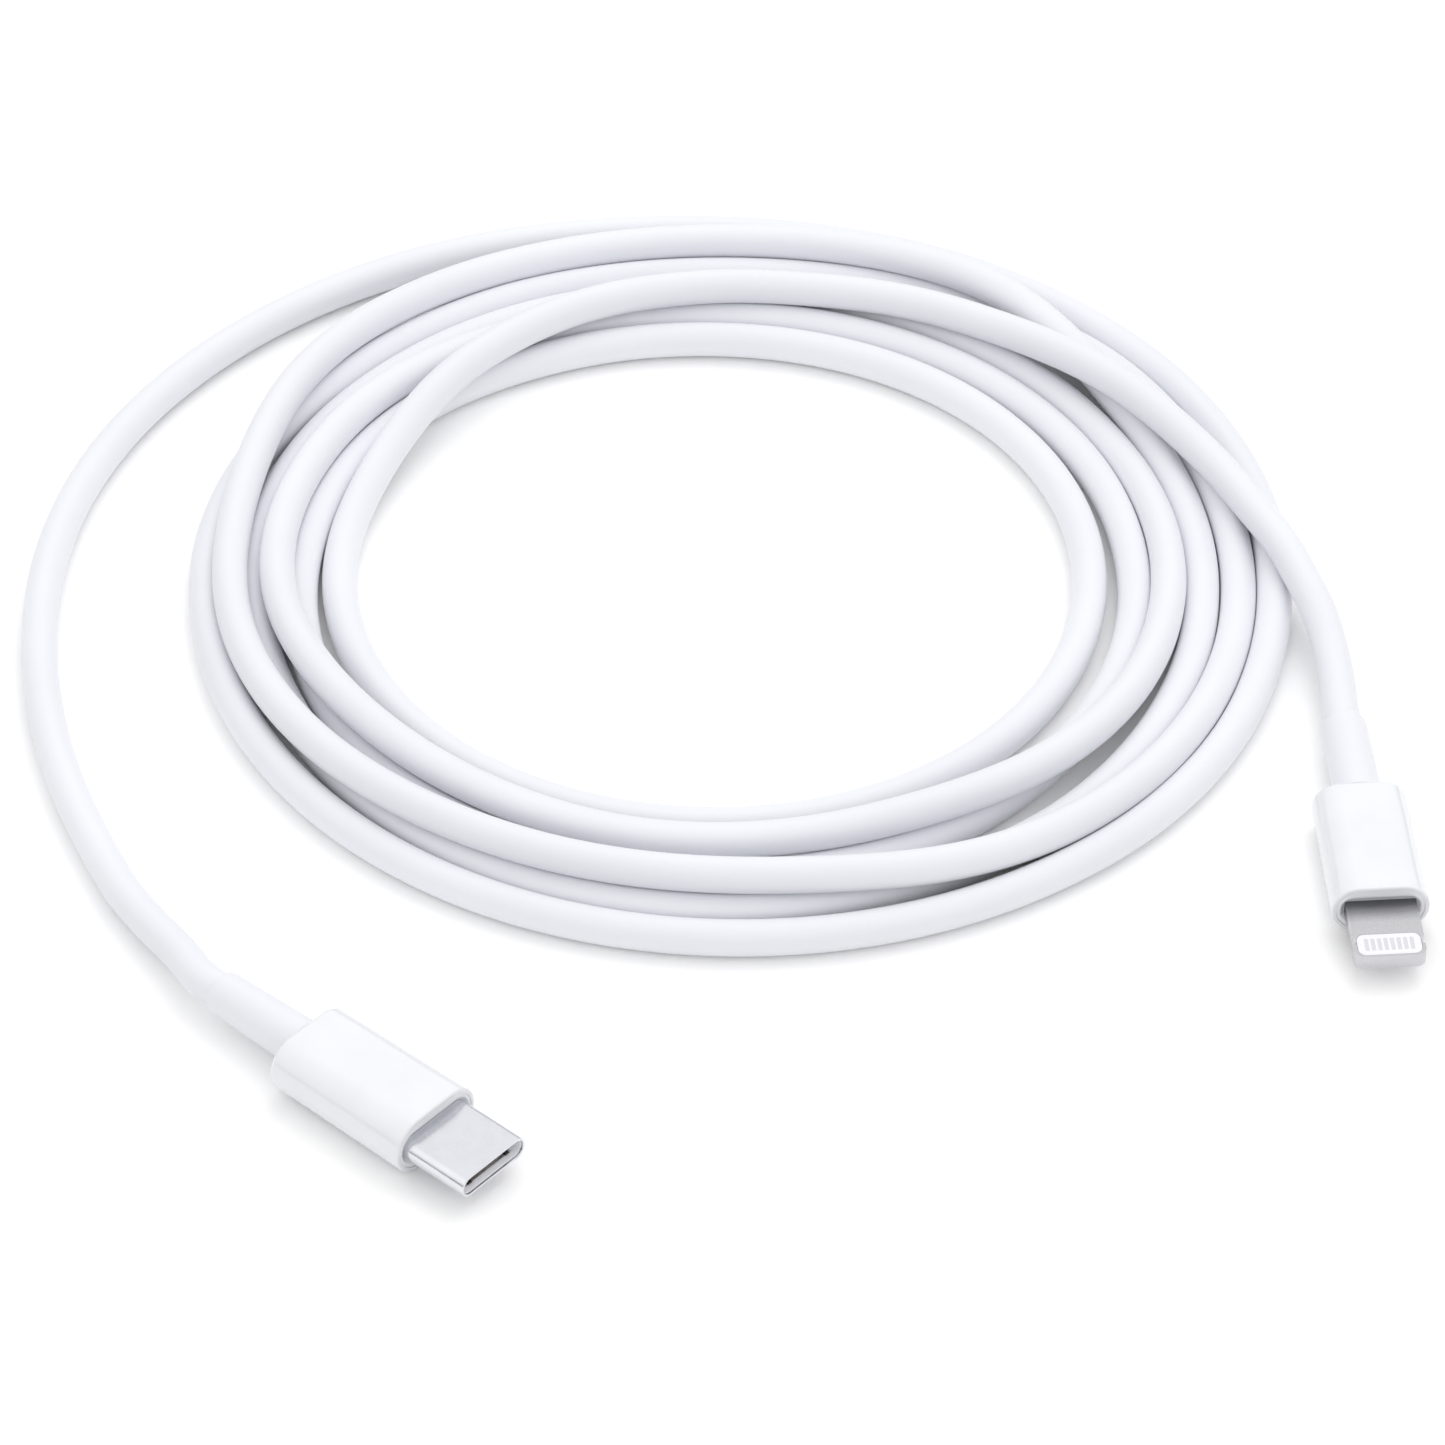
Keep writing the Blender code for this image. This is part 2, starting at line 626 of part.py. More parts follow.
def tab_frame_outline():
    """The metal tab from above: round front corners and a latch notch in each side."""
    half, root, front = TAB_WIDTH / 2, -TAB_ROOT, TAB_REACH
    corner, depth, reach = TAB_CORNER_RADIUS, TAB_NOTCH_DEPTH, TAB_NOTCH_LENGTH / 2
    side = [(half, root), (half, TAB_NOTCH_PLACE - reach)]
    for step in range(1, 6):
        along = -math.cos(math.pi * step / 6)
        side.append((half - depth * math.sin(math.pi * step / 6), TAB_NOTCH_PLACE + reach * along))
    side.append((half, TAB_NOTCH_PLACE + reach))
    for step in range(7):
        angle = math.radians(90 * step / 6)
        side.append((half - corner + corner * math.cos(angle), front - corner + corner * math.sin(angle)))
    return side + [(-x, z) for x, z in reversed(side)]


def tab_contact_places():
    middle = TAB_REACH - TAB_CARRIER_INSET - TAB_CARRIER_LENGTH / 2
    for index in range(TAB_CONTACT_COUNT):
        yield (index - (TAB_CONTACT_COUNT - 1) / 2) * TAB_CONTACT_PITCH, middle


def make_tab(parent):
    """The metal tab, the white contact carrier in its window and the contacts in the carrier's pockets."""
    lay_flat = Matrix.Rotation(math.pi / 2, 4, "X")
    middle = TAB_REACH - TAB_CARRIER_INSET - TAB_CARRIER_LENGTH / 2
    window = rounded_outline(
        TAB_CARRIER_WIDTH + 2 * FIT, TAB_CARRIER_LENGTH + 2 * FIT, TAB_CARRIER_CORNER + FIT, 5, (0.0, middle)
    )
    frame_curve = outline_curve("tab_frame", [tab_frame_outline(), window], TAB_THICKNESS)
    frame = add("tab_frame", curve_to_mesh(frame_curve, lay_flat), FRAME_METAL, parent)
    channel_half, channel_height = TAB_WIDTH / 2 - TAB_CHANNEL_SIDE, 0.42 * MM
    channel = box_mesh(
        "tab_frame_channel",
        (-channel_half, -channel_height, -TAB_ROOT - 1.0 * MM),
        (channel_half, channel_height, middle),
    )
    add_boolean(frame, add_cutter("tab_frame_channel", channel, parent))

    body = rounded_outline(TAB_CARRIER_WIDTH, TAB_CARRIER_LENGTH, TAB_CARRIER_CORNER, 5, (0.0, middle))
    carrier_curve = outline_curve("tab_contact_carrier", [body], TAB_THICKNESS)
    carrier = add("tab_contact_carrier", curve_to_mesh(carrier_curve, lay_flat), CARRIER_PLASTIC, parent)
    tongue = box_mesh(
        "tab_carrier_tongue",
        (-channel_half + FIT, -channel_height + FIT, -TAB_ROOT + 0.3 * MM),
        (channel_half - FIT, channel_height - FIT, middle),
    )
    add_boolean(carrier, add_cutter("tab_carrier_tongue", tongue, parent), "UNION")

    floor = TAB_THICKNESS / 2 - TAB_CONTACT_THICKNESS - FIT
    half_width = TAB_CONTACT_WIDTH / 2
    half_length = TAB_CONTACT_LENGTH / 2
    pockets = []
    for across, along in tab_contact_places():
        for low, high in ((floor, TAB_THICKNESS), (-TAB_THICKNESS, -floor)):
            pockets.append(
                (
                    (across - half_width - FIT, low, along - half_length - FIT),
                    (across + half_width + FIT, high, along + half_length + FIT),
                )
            )
    add_boolean(carrier, add_cutter("tab_contact_pockets", boxes_mesh("tab_contact_pockets", pockets), parent))

    pad = box_mesh(
        "tab_contact_pad",
        (-half_width, floor + FIT, -half_length),
        (half_width, TAB_THICKNESS / 2, half_length),
    )
    for number, (across, along) in enumerate(tab_contact_places(), 1):
        for face, turn in (("top", 0.0), ("bottom", math.pi)):
            contact = add(f"tab_contact_{face}_{number}", pad, CONTACT_METAL, parent)
            contact.location = (across, 0.0, along)
            contact.rotation_euler = (0.0, 0.0, turn)


def make_tab_plug():
    parent = plug_frame("tab_plug_frame", TAB_RIM, TAB_HOUSING_HEIGHT, TAB_YAW)
    size = (TAB_HOUSING_WIDTH, TAB_HOUSING_HEIGHT)
    length, scale = TAB_HOUSING_LENGTH, TAB_HOUSING_TAPER
    make_housing("tab_housing", parent, *size, length, scale, TAB_HOUSING_WALL, TAB_BACK_WALL)
    slot = rounded_outline(TAB_WIDTH + 2 * FIT, TAB_THICKNESS + 2 * FIT, 0.1 * MM, 2)
    make_nose_ring("tab_nose_ring", parent, size, TAB_HOUSING_WALL, length, scale, slot)
    make_tab(parent)
    can_back = -length + TAB_BACK_WALL + RELIEF_FLANGE_THICKNESS + 2 * FIT
    board_back = can_back + 2.2 * MM
    make_board("tab", parent, TAB_BOARD_WIDTH, -TAB_ROOT - 0.15 * MM, board_back)
    make_can("tab_shield_can", parent, size, TAB_HOUSING_WALL, scale, can_back)
    relief_front = make_relief(
        "tab_strain_relief", parent, length, TAB_BACK_WALL,
        TAB_RELIEF_ROOT_RADIUS, TAB_RELIEF_TIP_RADIUS, TAB_RELIEF_LENGTH,
    )
    make_wires("tab", parent, relief_front, board_back + 0.9 * MM, BOARD_THICKNESS / 2)
    return parent


def make_coil():
    """The coil as one ring of the outer shape of its turns."""
    half_height = COIL_HEIGHT / 2
    width = COIL_OUTER_RADIUS - COIL_INNER_RADIUS
    middle = (COIL_OUTER_RADIUS + COIL_INNER_RADIUS) / 2
    outline = rounded_outline(width, COIL_HEIGHT, COIL_EDGE_RADIUS, 3, (middle, half_height))
    coil = turned("cord_coil", outline[::-1], WHITE_MATT, steps=64)
    coil.location = (*COIL_CENTRE, 0.0)


def make_tail(name, parent, housing_length, relief_length, route):
    """The cord between a plug's strain relief and the coil."""
    end = -housing_length - relief_length
    start = in_world(parent, (0.0, 0.0, end - MEETING_GAP))
    leave = in_world(parent, (0.0, 0.0, end - 2.6 * MM))
    points = smooth_route([leave] + [Vector(point) * MM for point in route], CORD_TUBE_STEP)
    tube(name, [start, *points], CORD_DIAMETER / 2, 2, WHITE_MATT)


clear_scene()
PARTS = make_collection("charging_cable")
CUTTERS = make_collection("charging_cable_cutters")
type_c_plug = make_type_c_plug()
tab_plug = make_tab_plug()
make_coil()
make_tail("cord_type_c_tail", type_c_plug, TYPE_C_HOUSING_LENGTH, TYPE_C_RELIEF_LENGTH, TYPE_C_TAIL)
make_tail("cord_tab_tail", tab_plug, TAB_HOUSING_LENGTH, TAB_RELIEF_LENGTH, TAB_TAIL)
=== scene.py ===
"""Charging cable with a shell plug and a tab plug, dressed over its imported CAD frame."""

import math

import bmesh
import bpy
import numpy as np
from mathutils import Matrix, Vector


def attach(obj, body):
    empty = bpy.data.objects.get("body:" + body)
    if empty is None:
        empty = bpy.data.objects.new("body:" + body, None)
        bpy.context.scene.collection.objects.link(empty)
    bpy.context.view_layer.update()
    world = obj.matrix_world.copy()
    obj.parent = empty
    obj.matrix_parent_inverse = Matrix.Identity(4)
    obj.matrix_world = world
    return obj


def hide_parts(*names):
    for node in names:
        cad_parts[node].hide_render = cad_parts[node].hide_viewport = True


bl_info = {
    "name": "Charging Cable",
    "version": (1, 0, 0),
    "blender": (4, 5, 0),
    "location": "View3D > Sidebar > Cable",
    "description": "Builds a coiled charging cable with a shell plug and a tab plug",
    "category": "Object",
}

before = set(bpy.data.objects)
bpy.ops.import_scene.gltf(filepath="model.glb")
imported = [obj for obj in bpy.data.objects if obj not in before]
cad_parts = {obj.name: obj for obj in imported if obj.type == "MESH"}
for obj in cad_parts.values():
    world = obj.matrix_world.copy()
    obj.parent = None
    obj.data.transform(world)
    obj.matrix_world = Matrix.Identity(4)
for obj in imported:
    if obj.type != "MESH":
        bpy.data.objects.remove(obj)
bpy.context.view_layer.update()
MM = 0.001
BODY = "cable"


# ---------------------------------------------------------------- places


def plug_place(rim, height, yaw):
    """The turn and place of a plug whose own +Z is towards its nose and +Y is up."""
    nose = Vector((math.cos(math.radians(yaw)), math.sin(math.radians(yaw)), 0.0))
    up = Vector((0.0, 0.0, 1.0))
    turn = Matrix((up.cross(nose), up, nose)).transposed().to_4x4()
    return Matrix.Translation((rim[0] * MM, rim[1] * MM, height / 2 * MM)) @ turn


SHELL_PLUG = plug_place((-35.13, -23.57), 6.0, -41.5)
TAB_PLUG = plug_place((52.12, 5.70), 5.4, -86.0)

# All sizes below are in millimetres. Depths run along a plug's axis from the rim of its housing.

# Housings: width, height, length, taper and wall
SHELL_HOUSING = (10.26, 6.0, 16.4, 0.968, 0.5)
TAB_HOUSING = (9.28, 5.4, 15.0, 0.985, 0.45)
# Rounds at a housing's rim and back
SHELL_ROUNDS = (0.22, 0.7)
TAB_ROUNDS = (0.2, 0.65)
HOUSING_HOLE = 1.85
# Strain reliefs: radius at the root, radius at the tip and length
SHELL_RELIEF = (2.33, 2.1, 10.8)
TAB_RELIEF = (2.3, 2.2, 10.6)

# Outlines: width, height and corner. A nose ring has an outer outline and a slot.
SHELL_RING = ((9.24, 4.98, 2.44), (8.33, 2.48, 1.2))
TAB_RING = ((8.36, 4.48, 2.2), (6.76, 1.56, 0.3))
RING_BACK = -1.5
RING_RIM = -0.04
SHELL_RING_FLOOR = -0.4
TAB_RING_FLOOR = -0.45

SHELL_OUTSIDE = (8.25, 2.4, 1.15)
SHELL_INSIDE = (7.75, 1.9, 0.9)
SHELL_BACK = -4.4
SHELL_FRONT = 7.1
SHELL_LIP = 0.05

# The contact carrier in the shell, as outlines and the depths where they start and end
CARRIER_SLOT = (7.24, 1.36, 0.65)
CARRIER_MOUTH = (7.52, 1.7, 0.82)
CARRIER_BODY = (7.7, 1.86, 0.9)
CARRIER_BACK = -4.2
CARRIER_THROAT = 6.35
CARRIER_LIP = 6.85
CARRIER_FRONT = 6.88

TAB_HALF_WIDTH = 3.35
TAB_THICKNESS = 1.5
TAB_BACK = -5.0
TAB_FRONT = 7.1
TAB_CORNER = 0.95
TAB_EDGE = 0.1
NOTCH_DEPTH = 0.35
NOTCH_REACH = 0.55
NOTCH_PLACE = 5.0
TAB_WINDOW = (6.04, 2.78, 0.79)
TAB_CARRIER = (5.98, 2.72, 0.76)
TAB_CARRIER_THICKNESS = 1.49
TAB_CARRIER_EDGE = 0.04
WINDOW_MIDDLE = 5.45
CONTACT_COUNT = 8
CONTACT_FLOOR = 0.6


# ---------------------------------------------------------------- cord route

# The loose end from the shell plug to the coil
SHELL_END = (
    (-59.74, 0.21, 2.5),
    (-63.84, 6.21, 2.0),
    (-69.14, 15.41, 1.76),
    (-73.24, 26.21, 1.76),
    (-75.74, 36.91, 1.76),
    (-76.74, 47.71, 1.76),
    (-76.44, 58.11, 1.76),
    (-74.74, 66.51, 1.76),
    (-71.84, 74.71, 1.76),
    (-68.04, 81.31, 1.76),
    (-63.64, 87.61, 1.76),
    (-58.34, 93.41, 1.76),
    (-52.84, 97.91, 1.76),
    (-45.14, 102.71, 1.76),
    (-37.74, 106.41, 1.76),
)

# The loose end from the coil to the tab plug
TAB_END = (
    (48.46, 48.11, 4.0),
    (49.76, 42.01, 2.9),
    (50.16, 36.11, 2.7),
)

COIL_CENTRE = (-9.31, 54.73)

# Each turn of the coil as it was laid: compass angle, distance from the coil's centre and height.
# A turn starts at the left and runs clockwise. A point higher than 1.76 lies on other turns.
TURNS = (
    ((108, 56.9, 1.76), (90, 54.9, 1.76), (45, 55.2, 1.76), (0, 55.6, 1.76), (-45, 54.6, 1.76),
     (-90, 52.8, 1.76), (-135, 52.1, 1.76)),
    ((180, 51.7, 1.76), (135, 50.4, 1.76), (90, 48.3, 1.76), (45, 51.3, 1.76), (0, 51.95, 1.76),
     (-22, 51.8, 3.2), (-45, 52.0, 4.4), (-67, 50.6, 4.9), (-90, 47.4, 4.9), (-135, 48.6, 4.6)),
    ((180, 49.3, 4.5), (150, 50.8, 4.9), (135, 52.4, 4.4), (90, 50.8, 4.3), (50, 50.9, 5.0),
     (36, 48.9, 3.6), (20, 48.2, 1.76), (0, 47.9, 1.76), (-45, 49.7, 1.76), (-90, 48.9, 1.76),
     (-135, 48.4, 1.76)),
    ((180, 47.3, 1.76), (135, 46.6, 1.76), (90, 44.8, 1.76), (45, 44.9, 1.76), (0, 44.9, 3.7),
     (-30, 44.9, 4.7), (-45, 44.7, 4.9), (-67, 43.5, 4.9), (-90, 41.9, 4.2), (-135, 43.3, 4.9)),
    ((180, 44.9, 4.6), (135, 43.9, 4.5), (110, 42.7, 3.2), (90, 41.3, 1.76), (45, 41.5, 1.76),
     (0, 42.0, 1.76), (-45, 43.6, 1.76), (-90, 44.9, 1.76), (-135, 44.4, 1.76)),
    ((180, 43.2, 1.76), (135, 40.6, 1.76), (90, 37.8, 1.76), (45, 37.6, 1.76), (0, 37.5, 1.76),
     (-45, 37.7, 1.76), (-90, 37.8, 1.76), (-135, 38.6, 1.76)),
    ((180, 39.2, 1.76), (155, 39.4, 3.2), (135, 40.0, 5.2), (112, 41.5, 7.0), (90, 42.4, 5.4),
     (65, 44.2, 5.4), (45, 45.6, 6.3), (36, 46.8, 7.3), (27, 49.0, 6.9), (14, 51.6, 5.6),
     (0, 55.0, 5.0)),
)
# Degrees between two points of the coil, and millimetres between two points of the settled line
COIL_STEP = 15.0
SETTLE_STEP = 1.6
SETTLE_ROUNDS = 70
# Points at each end that the plugs hold still
HELD_POINTS = 12
# Strands are eased apart to this many diameters, and a point keeps clear of its neighbours
# on the line up to NEIGHBOUR_REACH diameters away
TOUCHING = 1.012
NEIGHBOUR_REACH = 2.5
EASING = 0.8
STIFFNESS = 0.3
SINKING = 0.012
FLOOR_GAP = 0.01
# Points on the cord's axis behind a strain relief: one in its end, one further out
RELIEF_GAP = 0.03
RELIEF_LEAD = 2.6


def coil_points():
    """The coil's points, one every 15 degrees of each turn."""
    angles, radii, heights = [], [], []
    for turn, stations in enumerate(TURNS):
        for angle, radius, height in stations:
            angles.append(360.0 * turn - angle)
            radii.append(radius)
            heights.append(height)
    around = np.arange(angles[0], angles[-1] + 0.01, COIL_STEP)
    radius = np.interp(around, angles, radii)
    height = np.interp(around, angles, heights)
    x = COIL_CENTRE[0] + radius * np.cos(np.radians(-around))
    y = COIL_CENTRE[1] + radius * np.sin(np.radians(-around))
    return np.stack([x, y, height], 1)


def even_spacing(points, step):
    """Points spaced evenly along a line."""
    travelled = np.r_[0.0, np.cumsum(np.linalg.norm(np.diff(points, axis=0), axis=1))]
    wanted = np.linspace(0.0, travelled[-1], max(2, round(travelled[-1] / step)) + 1)
    return np.stack([np.interp(wanted, travelled, points[:, axis]) for axis in range(3)], 1)


def smooth_line(points, step):
    """A smooth line through points, evenly spaced."""
    ends = np.vstack([2 * points[0] - points[1], points, 2 * points[-1] - points[-2]])
    share = np.linspace(0.0, 1.0, 16, endpoint=False)[:, None]
    fine = []
    for before, start, end, after in zip(ends, ends[1:], ends[2:], ends[3:]):
        slope = (end - before) * share
        bend = (2 * before - 5 * start + 4 * end - after) * share**2
        twist = (3 * start - before - 3 * end + after) * share**3
        fine.append(0.5 * (2 * start + slope + bend + twist))
    return even_spacing(np.vstack([*fine, points[-1:]]), step)


def settle(points, diameter, step):
    """Ease the turns apart until they only touch, and let them sink until something holds them."""
    line = points.copy()
    order = np.arange(len(line))
    reach = round(NEIGHBOUR_REACH * diameter / step)
    neighbours = np.abs(order[:, None] - order[None, :]) < reach
    free = np.ones((len(line), 1))
    free[:HELD_POINTS] = 0.0
    free[-HELD_POINTS:] = 0.0
    apart = TOUCHING * diameter
    for _ in range(SETTLE_ROUNDS):
        between = line[:, None, :] - line[None, :, :]
        distance = np.linalg.norm(between, axis=2)
        distance[neighbours] = 10 * diameter
        push = np.maximum(apart - distance, 0.0)
        touching = np.maximum((push > 0.0).sum(1), 1)[:, None]
        line += EASING * ((push / distance)[:, :, None] * between).sum(1) / touching * free
        for _ in range(2):
            middle = (line[:-2] + line[2:]) / 2 - line[1:-1]
            line[1:-1] += STIFFNESS * middle * free[1:-1]
        sunk = line[:, 2] - SINKING * free[:, 0]
        line[:, 2] = np.maximum(sunk, diameter / 2 + FLOOR_GAP)
    return line


def relief_end(place, housing, relief, beyond):
    """A point on the plug's axis, some way behind its strain relief."""
    depth = housing[2] + relief[2] + beyond
    return np.array(place @ Vector((0.0, 0.0, -depth * MM))) / MM


def cord_route(diameter):
    """The cord's centre line in metres, from the shell plug to the tab plug."""
    gaps = (RELIEF_GAP, RELIEF_LEAD)
    start = [relief_end(SHELL_PLUG, SHELL_HOUSING, SHELL_RELIEF, gap) for gap in gaps]
    finish = [relief_end(TAB_PLUG, TAB_HOUSING, TAB_RELIEF, gap) for gap in reversed(gaps)]
    points = np.vstack([start, SHELL_END, coil_points(), TAB_END, finish])
    return settle(smooth_line(points, SETTLE_STEP), diameter, SETTLE_STEP) * MM


# ---------------------------------------------------------------- colour and nodes

# Sockets of a colour Mix node, whose names are not unique
FIRST_COLOUR, SECOND_COLOUR, MIXED_COLOUR = 6, 7, 2


def linear(code):
    """An sRGB hex colour as linear RGBA."""
    parts = [int(code[i : i + 2], 16) / 255 for i in (1, 3, 5)]
    return (*[c / 12.92 if c <= 0.04045 else ((c + 0.055) / 1.055) ** 2.4 for c in parts], 1.0)


def darken(colour, share):
    """A colour with its three channels reduced to a share."""
    return (*[share * c for c in colour[:3]], 1.0)


def add_node(tree, kind, settings=None, values=None, links=None):
    """Add a node with its settings, its input values and its links from other nodes' outputs."""
    node = tree.nodes.new(kind)
    for name, value in (settings or {}).items():
        setattr(node, name, value)
    for name, value in (values or {}).items():
        node.inputs[name].default_value = value
    for name, source in (links or {}).items():
        tree.links.new(source, node.inputs[name])
    return node


def new_material(name, **values):
    """A material with its Principled BSDF, given values for the shader's own sockets."""
    made = bpy.data.materials.new(name)
    made.use_nodes = True
    shader = made.node_tree.nodes["Principled BSDF"]
    for socket, value in values.items():
        shader.inputs[socket.replace("_", " ")].default_value = value
    return made, made.node_tree, shader


def pattern_place(tree, place, along=1.0):
    """Object coordinates in metres, turned to a plug's own axes and scaled along its axis."""
    spot = add_node(tree, "ShaderNodeTexCoord").outputs["Object"]
    if place is not None:
        back = place.inverted()
        values = {"Rotation": back.to_euler(), "Location": back.translation}
        spot = add_node(tree, "ShaderNodeMapping", None, values, {"Vector": spot}).outputs["Vector"]
    scale = {"Scale": (1.0, 1.0, along)}
    return add_node(tree, "ShaderNodeMapping", None, scale, {"Vector": spot}).outputs["Vector"]


def vary(tree, shader, pattern, tint=None, gloss=None, relief=None):
    """Let a pattern vary a surface's colour, gloss and relief.

    tint and gloss give a low and a high value of the pattern and the colours or the
    roughnesses there. relief gives a depth in millimetres and a strength.
    """
    if tint:
        low, high, first, second = tint
        reach = {"From Min": low, "From Max": high}
        share = add_node(tree, "ShaderNodeMapRange", None, reach, {"Value": pattern})
        colours = {FIRST_COLOUR: first, SECOND_COLOUR: second}
        link = {"Factor": share.outputs["Result"]}
        mix = add_node(tree, "ShaderNodeMix", {"data_type": "RGBA"}, colours, link)
        tree.links.new(mix.outputs[MIXED_COLOUR], shader.inputs["Base Color"])
    if gloss:
        low, high, smooth, rough = gloss
        reach = {"From Min": low, "From Max": high, "To Min": smooth, "To Max": rough}
        share = add_node(tree, "ShaderNodeMapRange", None, reach, {"Value": pattern})
        tree.links.new(share.outputs["Result"], shader.inputs["Roughness"])
    if relief:
        depth, strength = relief
        raised = {"Distance": depth * MM, "Strength": strength}
        bump = add_node(tree, "ShaderNodeBump", None, raised, {"Height": pattern})
        tree.links.new(bump.outputs["Normal"], shader.inputs["Normal"])


def lay_grain(tree, shader, place, size, detail=3.0, roughness=0.5, along=1.0, **effects):
    """Vary a surface with irregular grain about size millimetres across."""
    values = {"Scale": 1.0 / (size * MM), "Detail": detail, "Roughness": roughness}
    link = {"Vector": pattern_place(tree, place, along)}
    grain = add_node(tree, "ShaderNodeTexNoise", None, values, link)
    vary(tree, shader, grain.outputs["Fac"], **effects)


# ---------------------------------------------------------------- materials


def moulded_polycarbonate(name, colour, place):
    """Glossy injection-moulded polycarbonate: clean mirror-like gloss with a very slight ripple."""
    made, tree, shader = new_material(
        name, Roughness=0.16, IOR=1.58, Coat_Weight=0.25, Coat_Roughness=0.06
    )
    # Melt flow leaves a faint ripple about 4 mm across
    tint = (0.3, 0.7, linear("#E9EAED"), colour)
    lay_grain(tree, shader, place, 4.0, 2.0, tint=tint, relief=(0.01, 0.5))
    # Handling marks, really 0.05 mm wide, drawn 0.4 mm across so that they show
    lay_grain(tree, shader, place, 0.4, 4.0, 0.6, gloss=(0.35, 0.75, 0.12, 0.22))
    return made


def extruded_elastomer(name, colour, shade):
    """Matt extruded thermoplastic elastomer: soft, slightly waxy, with a fine dry grain."""
    made, tree, shader = new_material(
        name, Roughness=0.52, IOR=1.5, Sheen_Weight=0.08, Sheen_Roughness=0.5
    )
    # Slow changes of tone where the cord has been handled, about 25 mm long
    lay_grain(tree, shader, None, 25.0, 2.0, tint=(0.3, 0.7, colour, shade))
    # The skin's grain is about 0.03 mm, drawn at 0.25 mm so that it shows
    gloss = (0.3, 0.7, 0.46, 0.6)
    lay_grain(tree, shader, None, 0.25, 3.0, 0.65, gloss=gloss, relief=(0.008, 0.6))
    return made


def moulded_grey_nylon(name, colour, place):
    """Satin moulded nylon, as on a connector's nose ring, with a fine spark-eroded texture."""
    made, tree, shader = new_material(name, Roughness=0.38, IOR=1.53)
    # Spark-eroded grain of 0.02 mm, drawn at 0.12 mm so that it shows
    tint = (0.3, 0.7, colour, linear("#EDEEF0"))
    lay_grain(tree, shader, place, 0.12, 3.0, 0.6, tint=tint, relief=(0.006, 0.5))
    return made


def drawn_stainless_steel(name, colour, place, roughness, line, depth):
    """Deep-drawn and tumbled stainless steel: bright, with faint draw lines along its axis."""
    made, tree, shader = new_material(name, Metallic=1.0, Roughness=roughness)
    # Draw lines are about 0.01 mm wide, drawn wider so that they show
    gloss = (0.3, 0.7, roughness * 0.8, roughness * 1.35)
    lay_grain(tree, shader, place, line, 4.0, 0.6, 0.04, gloss=gloss, relief=(depth, 0.4))
    # Tumbling leaves soft clouds about 1.6 mm across
    lay_grain(tree, shader, place, 1.6, tint=(0.3, 0.7, colour, darken(colour, 0.96)))
    return made


def padded_spring_steel(name, place):
    """Bright rolled spring steel with two pads painted near-black, as painted shade for two shaded
    recesses in the shell's mouth.
    """
    made, tree, shader = new_material(name, Metallic=1.0, Roughness=0.3)
    link = {"Vector": pattern_place(tree, place)}
    across = add_node(tree, "ShaderNodeSeparateXYZ", None, None, link).outputs["X"]
    side = add_node(tree, "ShaderNodeMath", {"operation": "ABSOLUTE"}, None, {0: across})
    # The pads sit 2.45 mm to each side of the middle and are 0.6 mm wide
    pads = {1: 2.45 * MM, 2: 0.6 / 2 * MM}
    link = {0: side.outputs["Value"]}
    pad = add_node(tree, "ShaderNodeMath", {"operation": "COMPARE"}, pads, link)
    # Painted shade: near-black on the pads, where two recesses in the mouth lie in shadow
    tint = (0.0, 1.0, linear("#E4E4E7"), linear("#4B4945"))
    vary(tree, shader, pad.outputs["Value"], tint=tint)
    # Rolling grain of 0.02 mm, drawn at 0.08 mm so that it shows
    lay_grain(tree, shader, place, 0.08, gloss=(0.3, 0.7, 0.25, 0.4))
    return made


def blasted_steel(name, colour, place):
    """Bead-blasted stainless steel, as on the tab: an even satin with a pin-prick sparkle."""
    made, tree, shader = new_material(name, Metallic=1.0, Roughness=0.34)
    # Blasting leaves pits of 0.03 mm, drawn at 0.09 mm so that they show
    tint = (0.35, 0.65, colour, darken(colour, 0.82))
    gloss = (0.3, 0.7, 0.28, 0.42)
    lay_grain(tree, shader, place, 0.09, 3.0, 0.7, tint=tint, gloss=gloss, relief=(0.004, 0.6))
    # Painted shade: the first 2.4 mm in front of the housing are darkened towards grey, standing in
    # for the shadow in the housing's recess and its dark reflection on the tab
    link = {"Vector": pattern_place(tree, place)}
    along = add_node(tree, "ShaderNodeSeparateXYZ", None, None, link).outputs["Z"]
    reach = {"From Min": -0.2 * MM, "From Max": 2.4 * MM, "To Min": 0.85, "To Max": 0.0}
    root = add_node(tree, "ShaderNodeMapRange", None, reach, {"Value": along})
    blasted = shader.inputs["Base Color"].links[0].from_socket
    links = {"Factor": root.outputs["Result"], FIRST_COLOUR: blasted}
    # The grey of the painted shade at the tab's root
    dark = {SECOND_COLOUR: linear("#68686B")}
    shaded = add_node(tree, "ShaderNodeMix", {"data_type": "RGBA"}, dark, links)
    tree.links.new(shaded.outputs[MIXED_COLOUR], shader.inputs["Base Color"])
    return made


def moulded_crystal_polymer(name, colour, place):
    """Glass-filled liquid crystal polymer, moulded: opaque white with faint short fibres."""
    made, tree, shader = new_material(name, Roughness=0.34, IOR=1.6)
    # Glass fibres are 0.01 mm thick, drawn at 0.06 mm by 0.3 mm so that they show
    effects = {
        "tint": (0.35, 0.7, colour, linear("#E9E9EE")),
        "gloss": (0.3, 0.7, 0.28, 0.42),
        "relief": (0.003, 0.4),
    }
    lay_grain(tree, shader, place, 0.06, 3.0, 0.6, 0.2, **effects)
    return made


def plated_alloy(name, colour, worn, place):
    """Copper alloy with a thin bright plating that is lightly wiped along its length."""
    made, tree, shader = new_material(name, Metallic=1.0, Roughness=0.24)
    # Wipe marks 0.01 mm wide, drawn at 0.05 mm so that they show
    effects = {
        "tint": (0.45, 0.75, colour, worn),
        "gloss": (0.3, 0.7, 0.2, 0.34),
        "relief": (0.002, 0.4),
    }
    lay_grain(tree, shader, place, 0.05, 3.0, 0.6, 0.1, **effects)
    return made


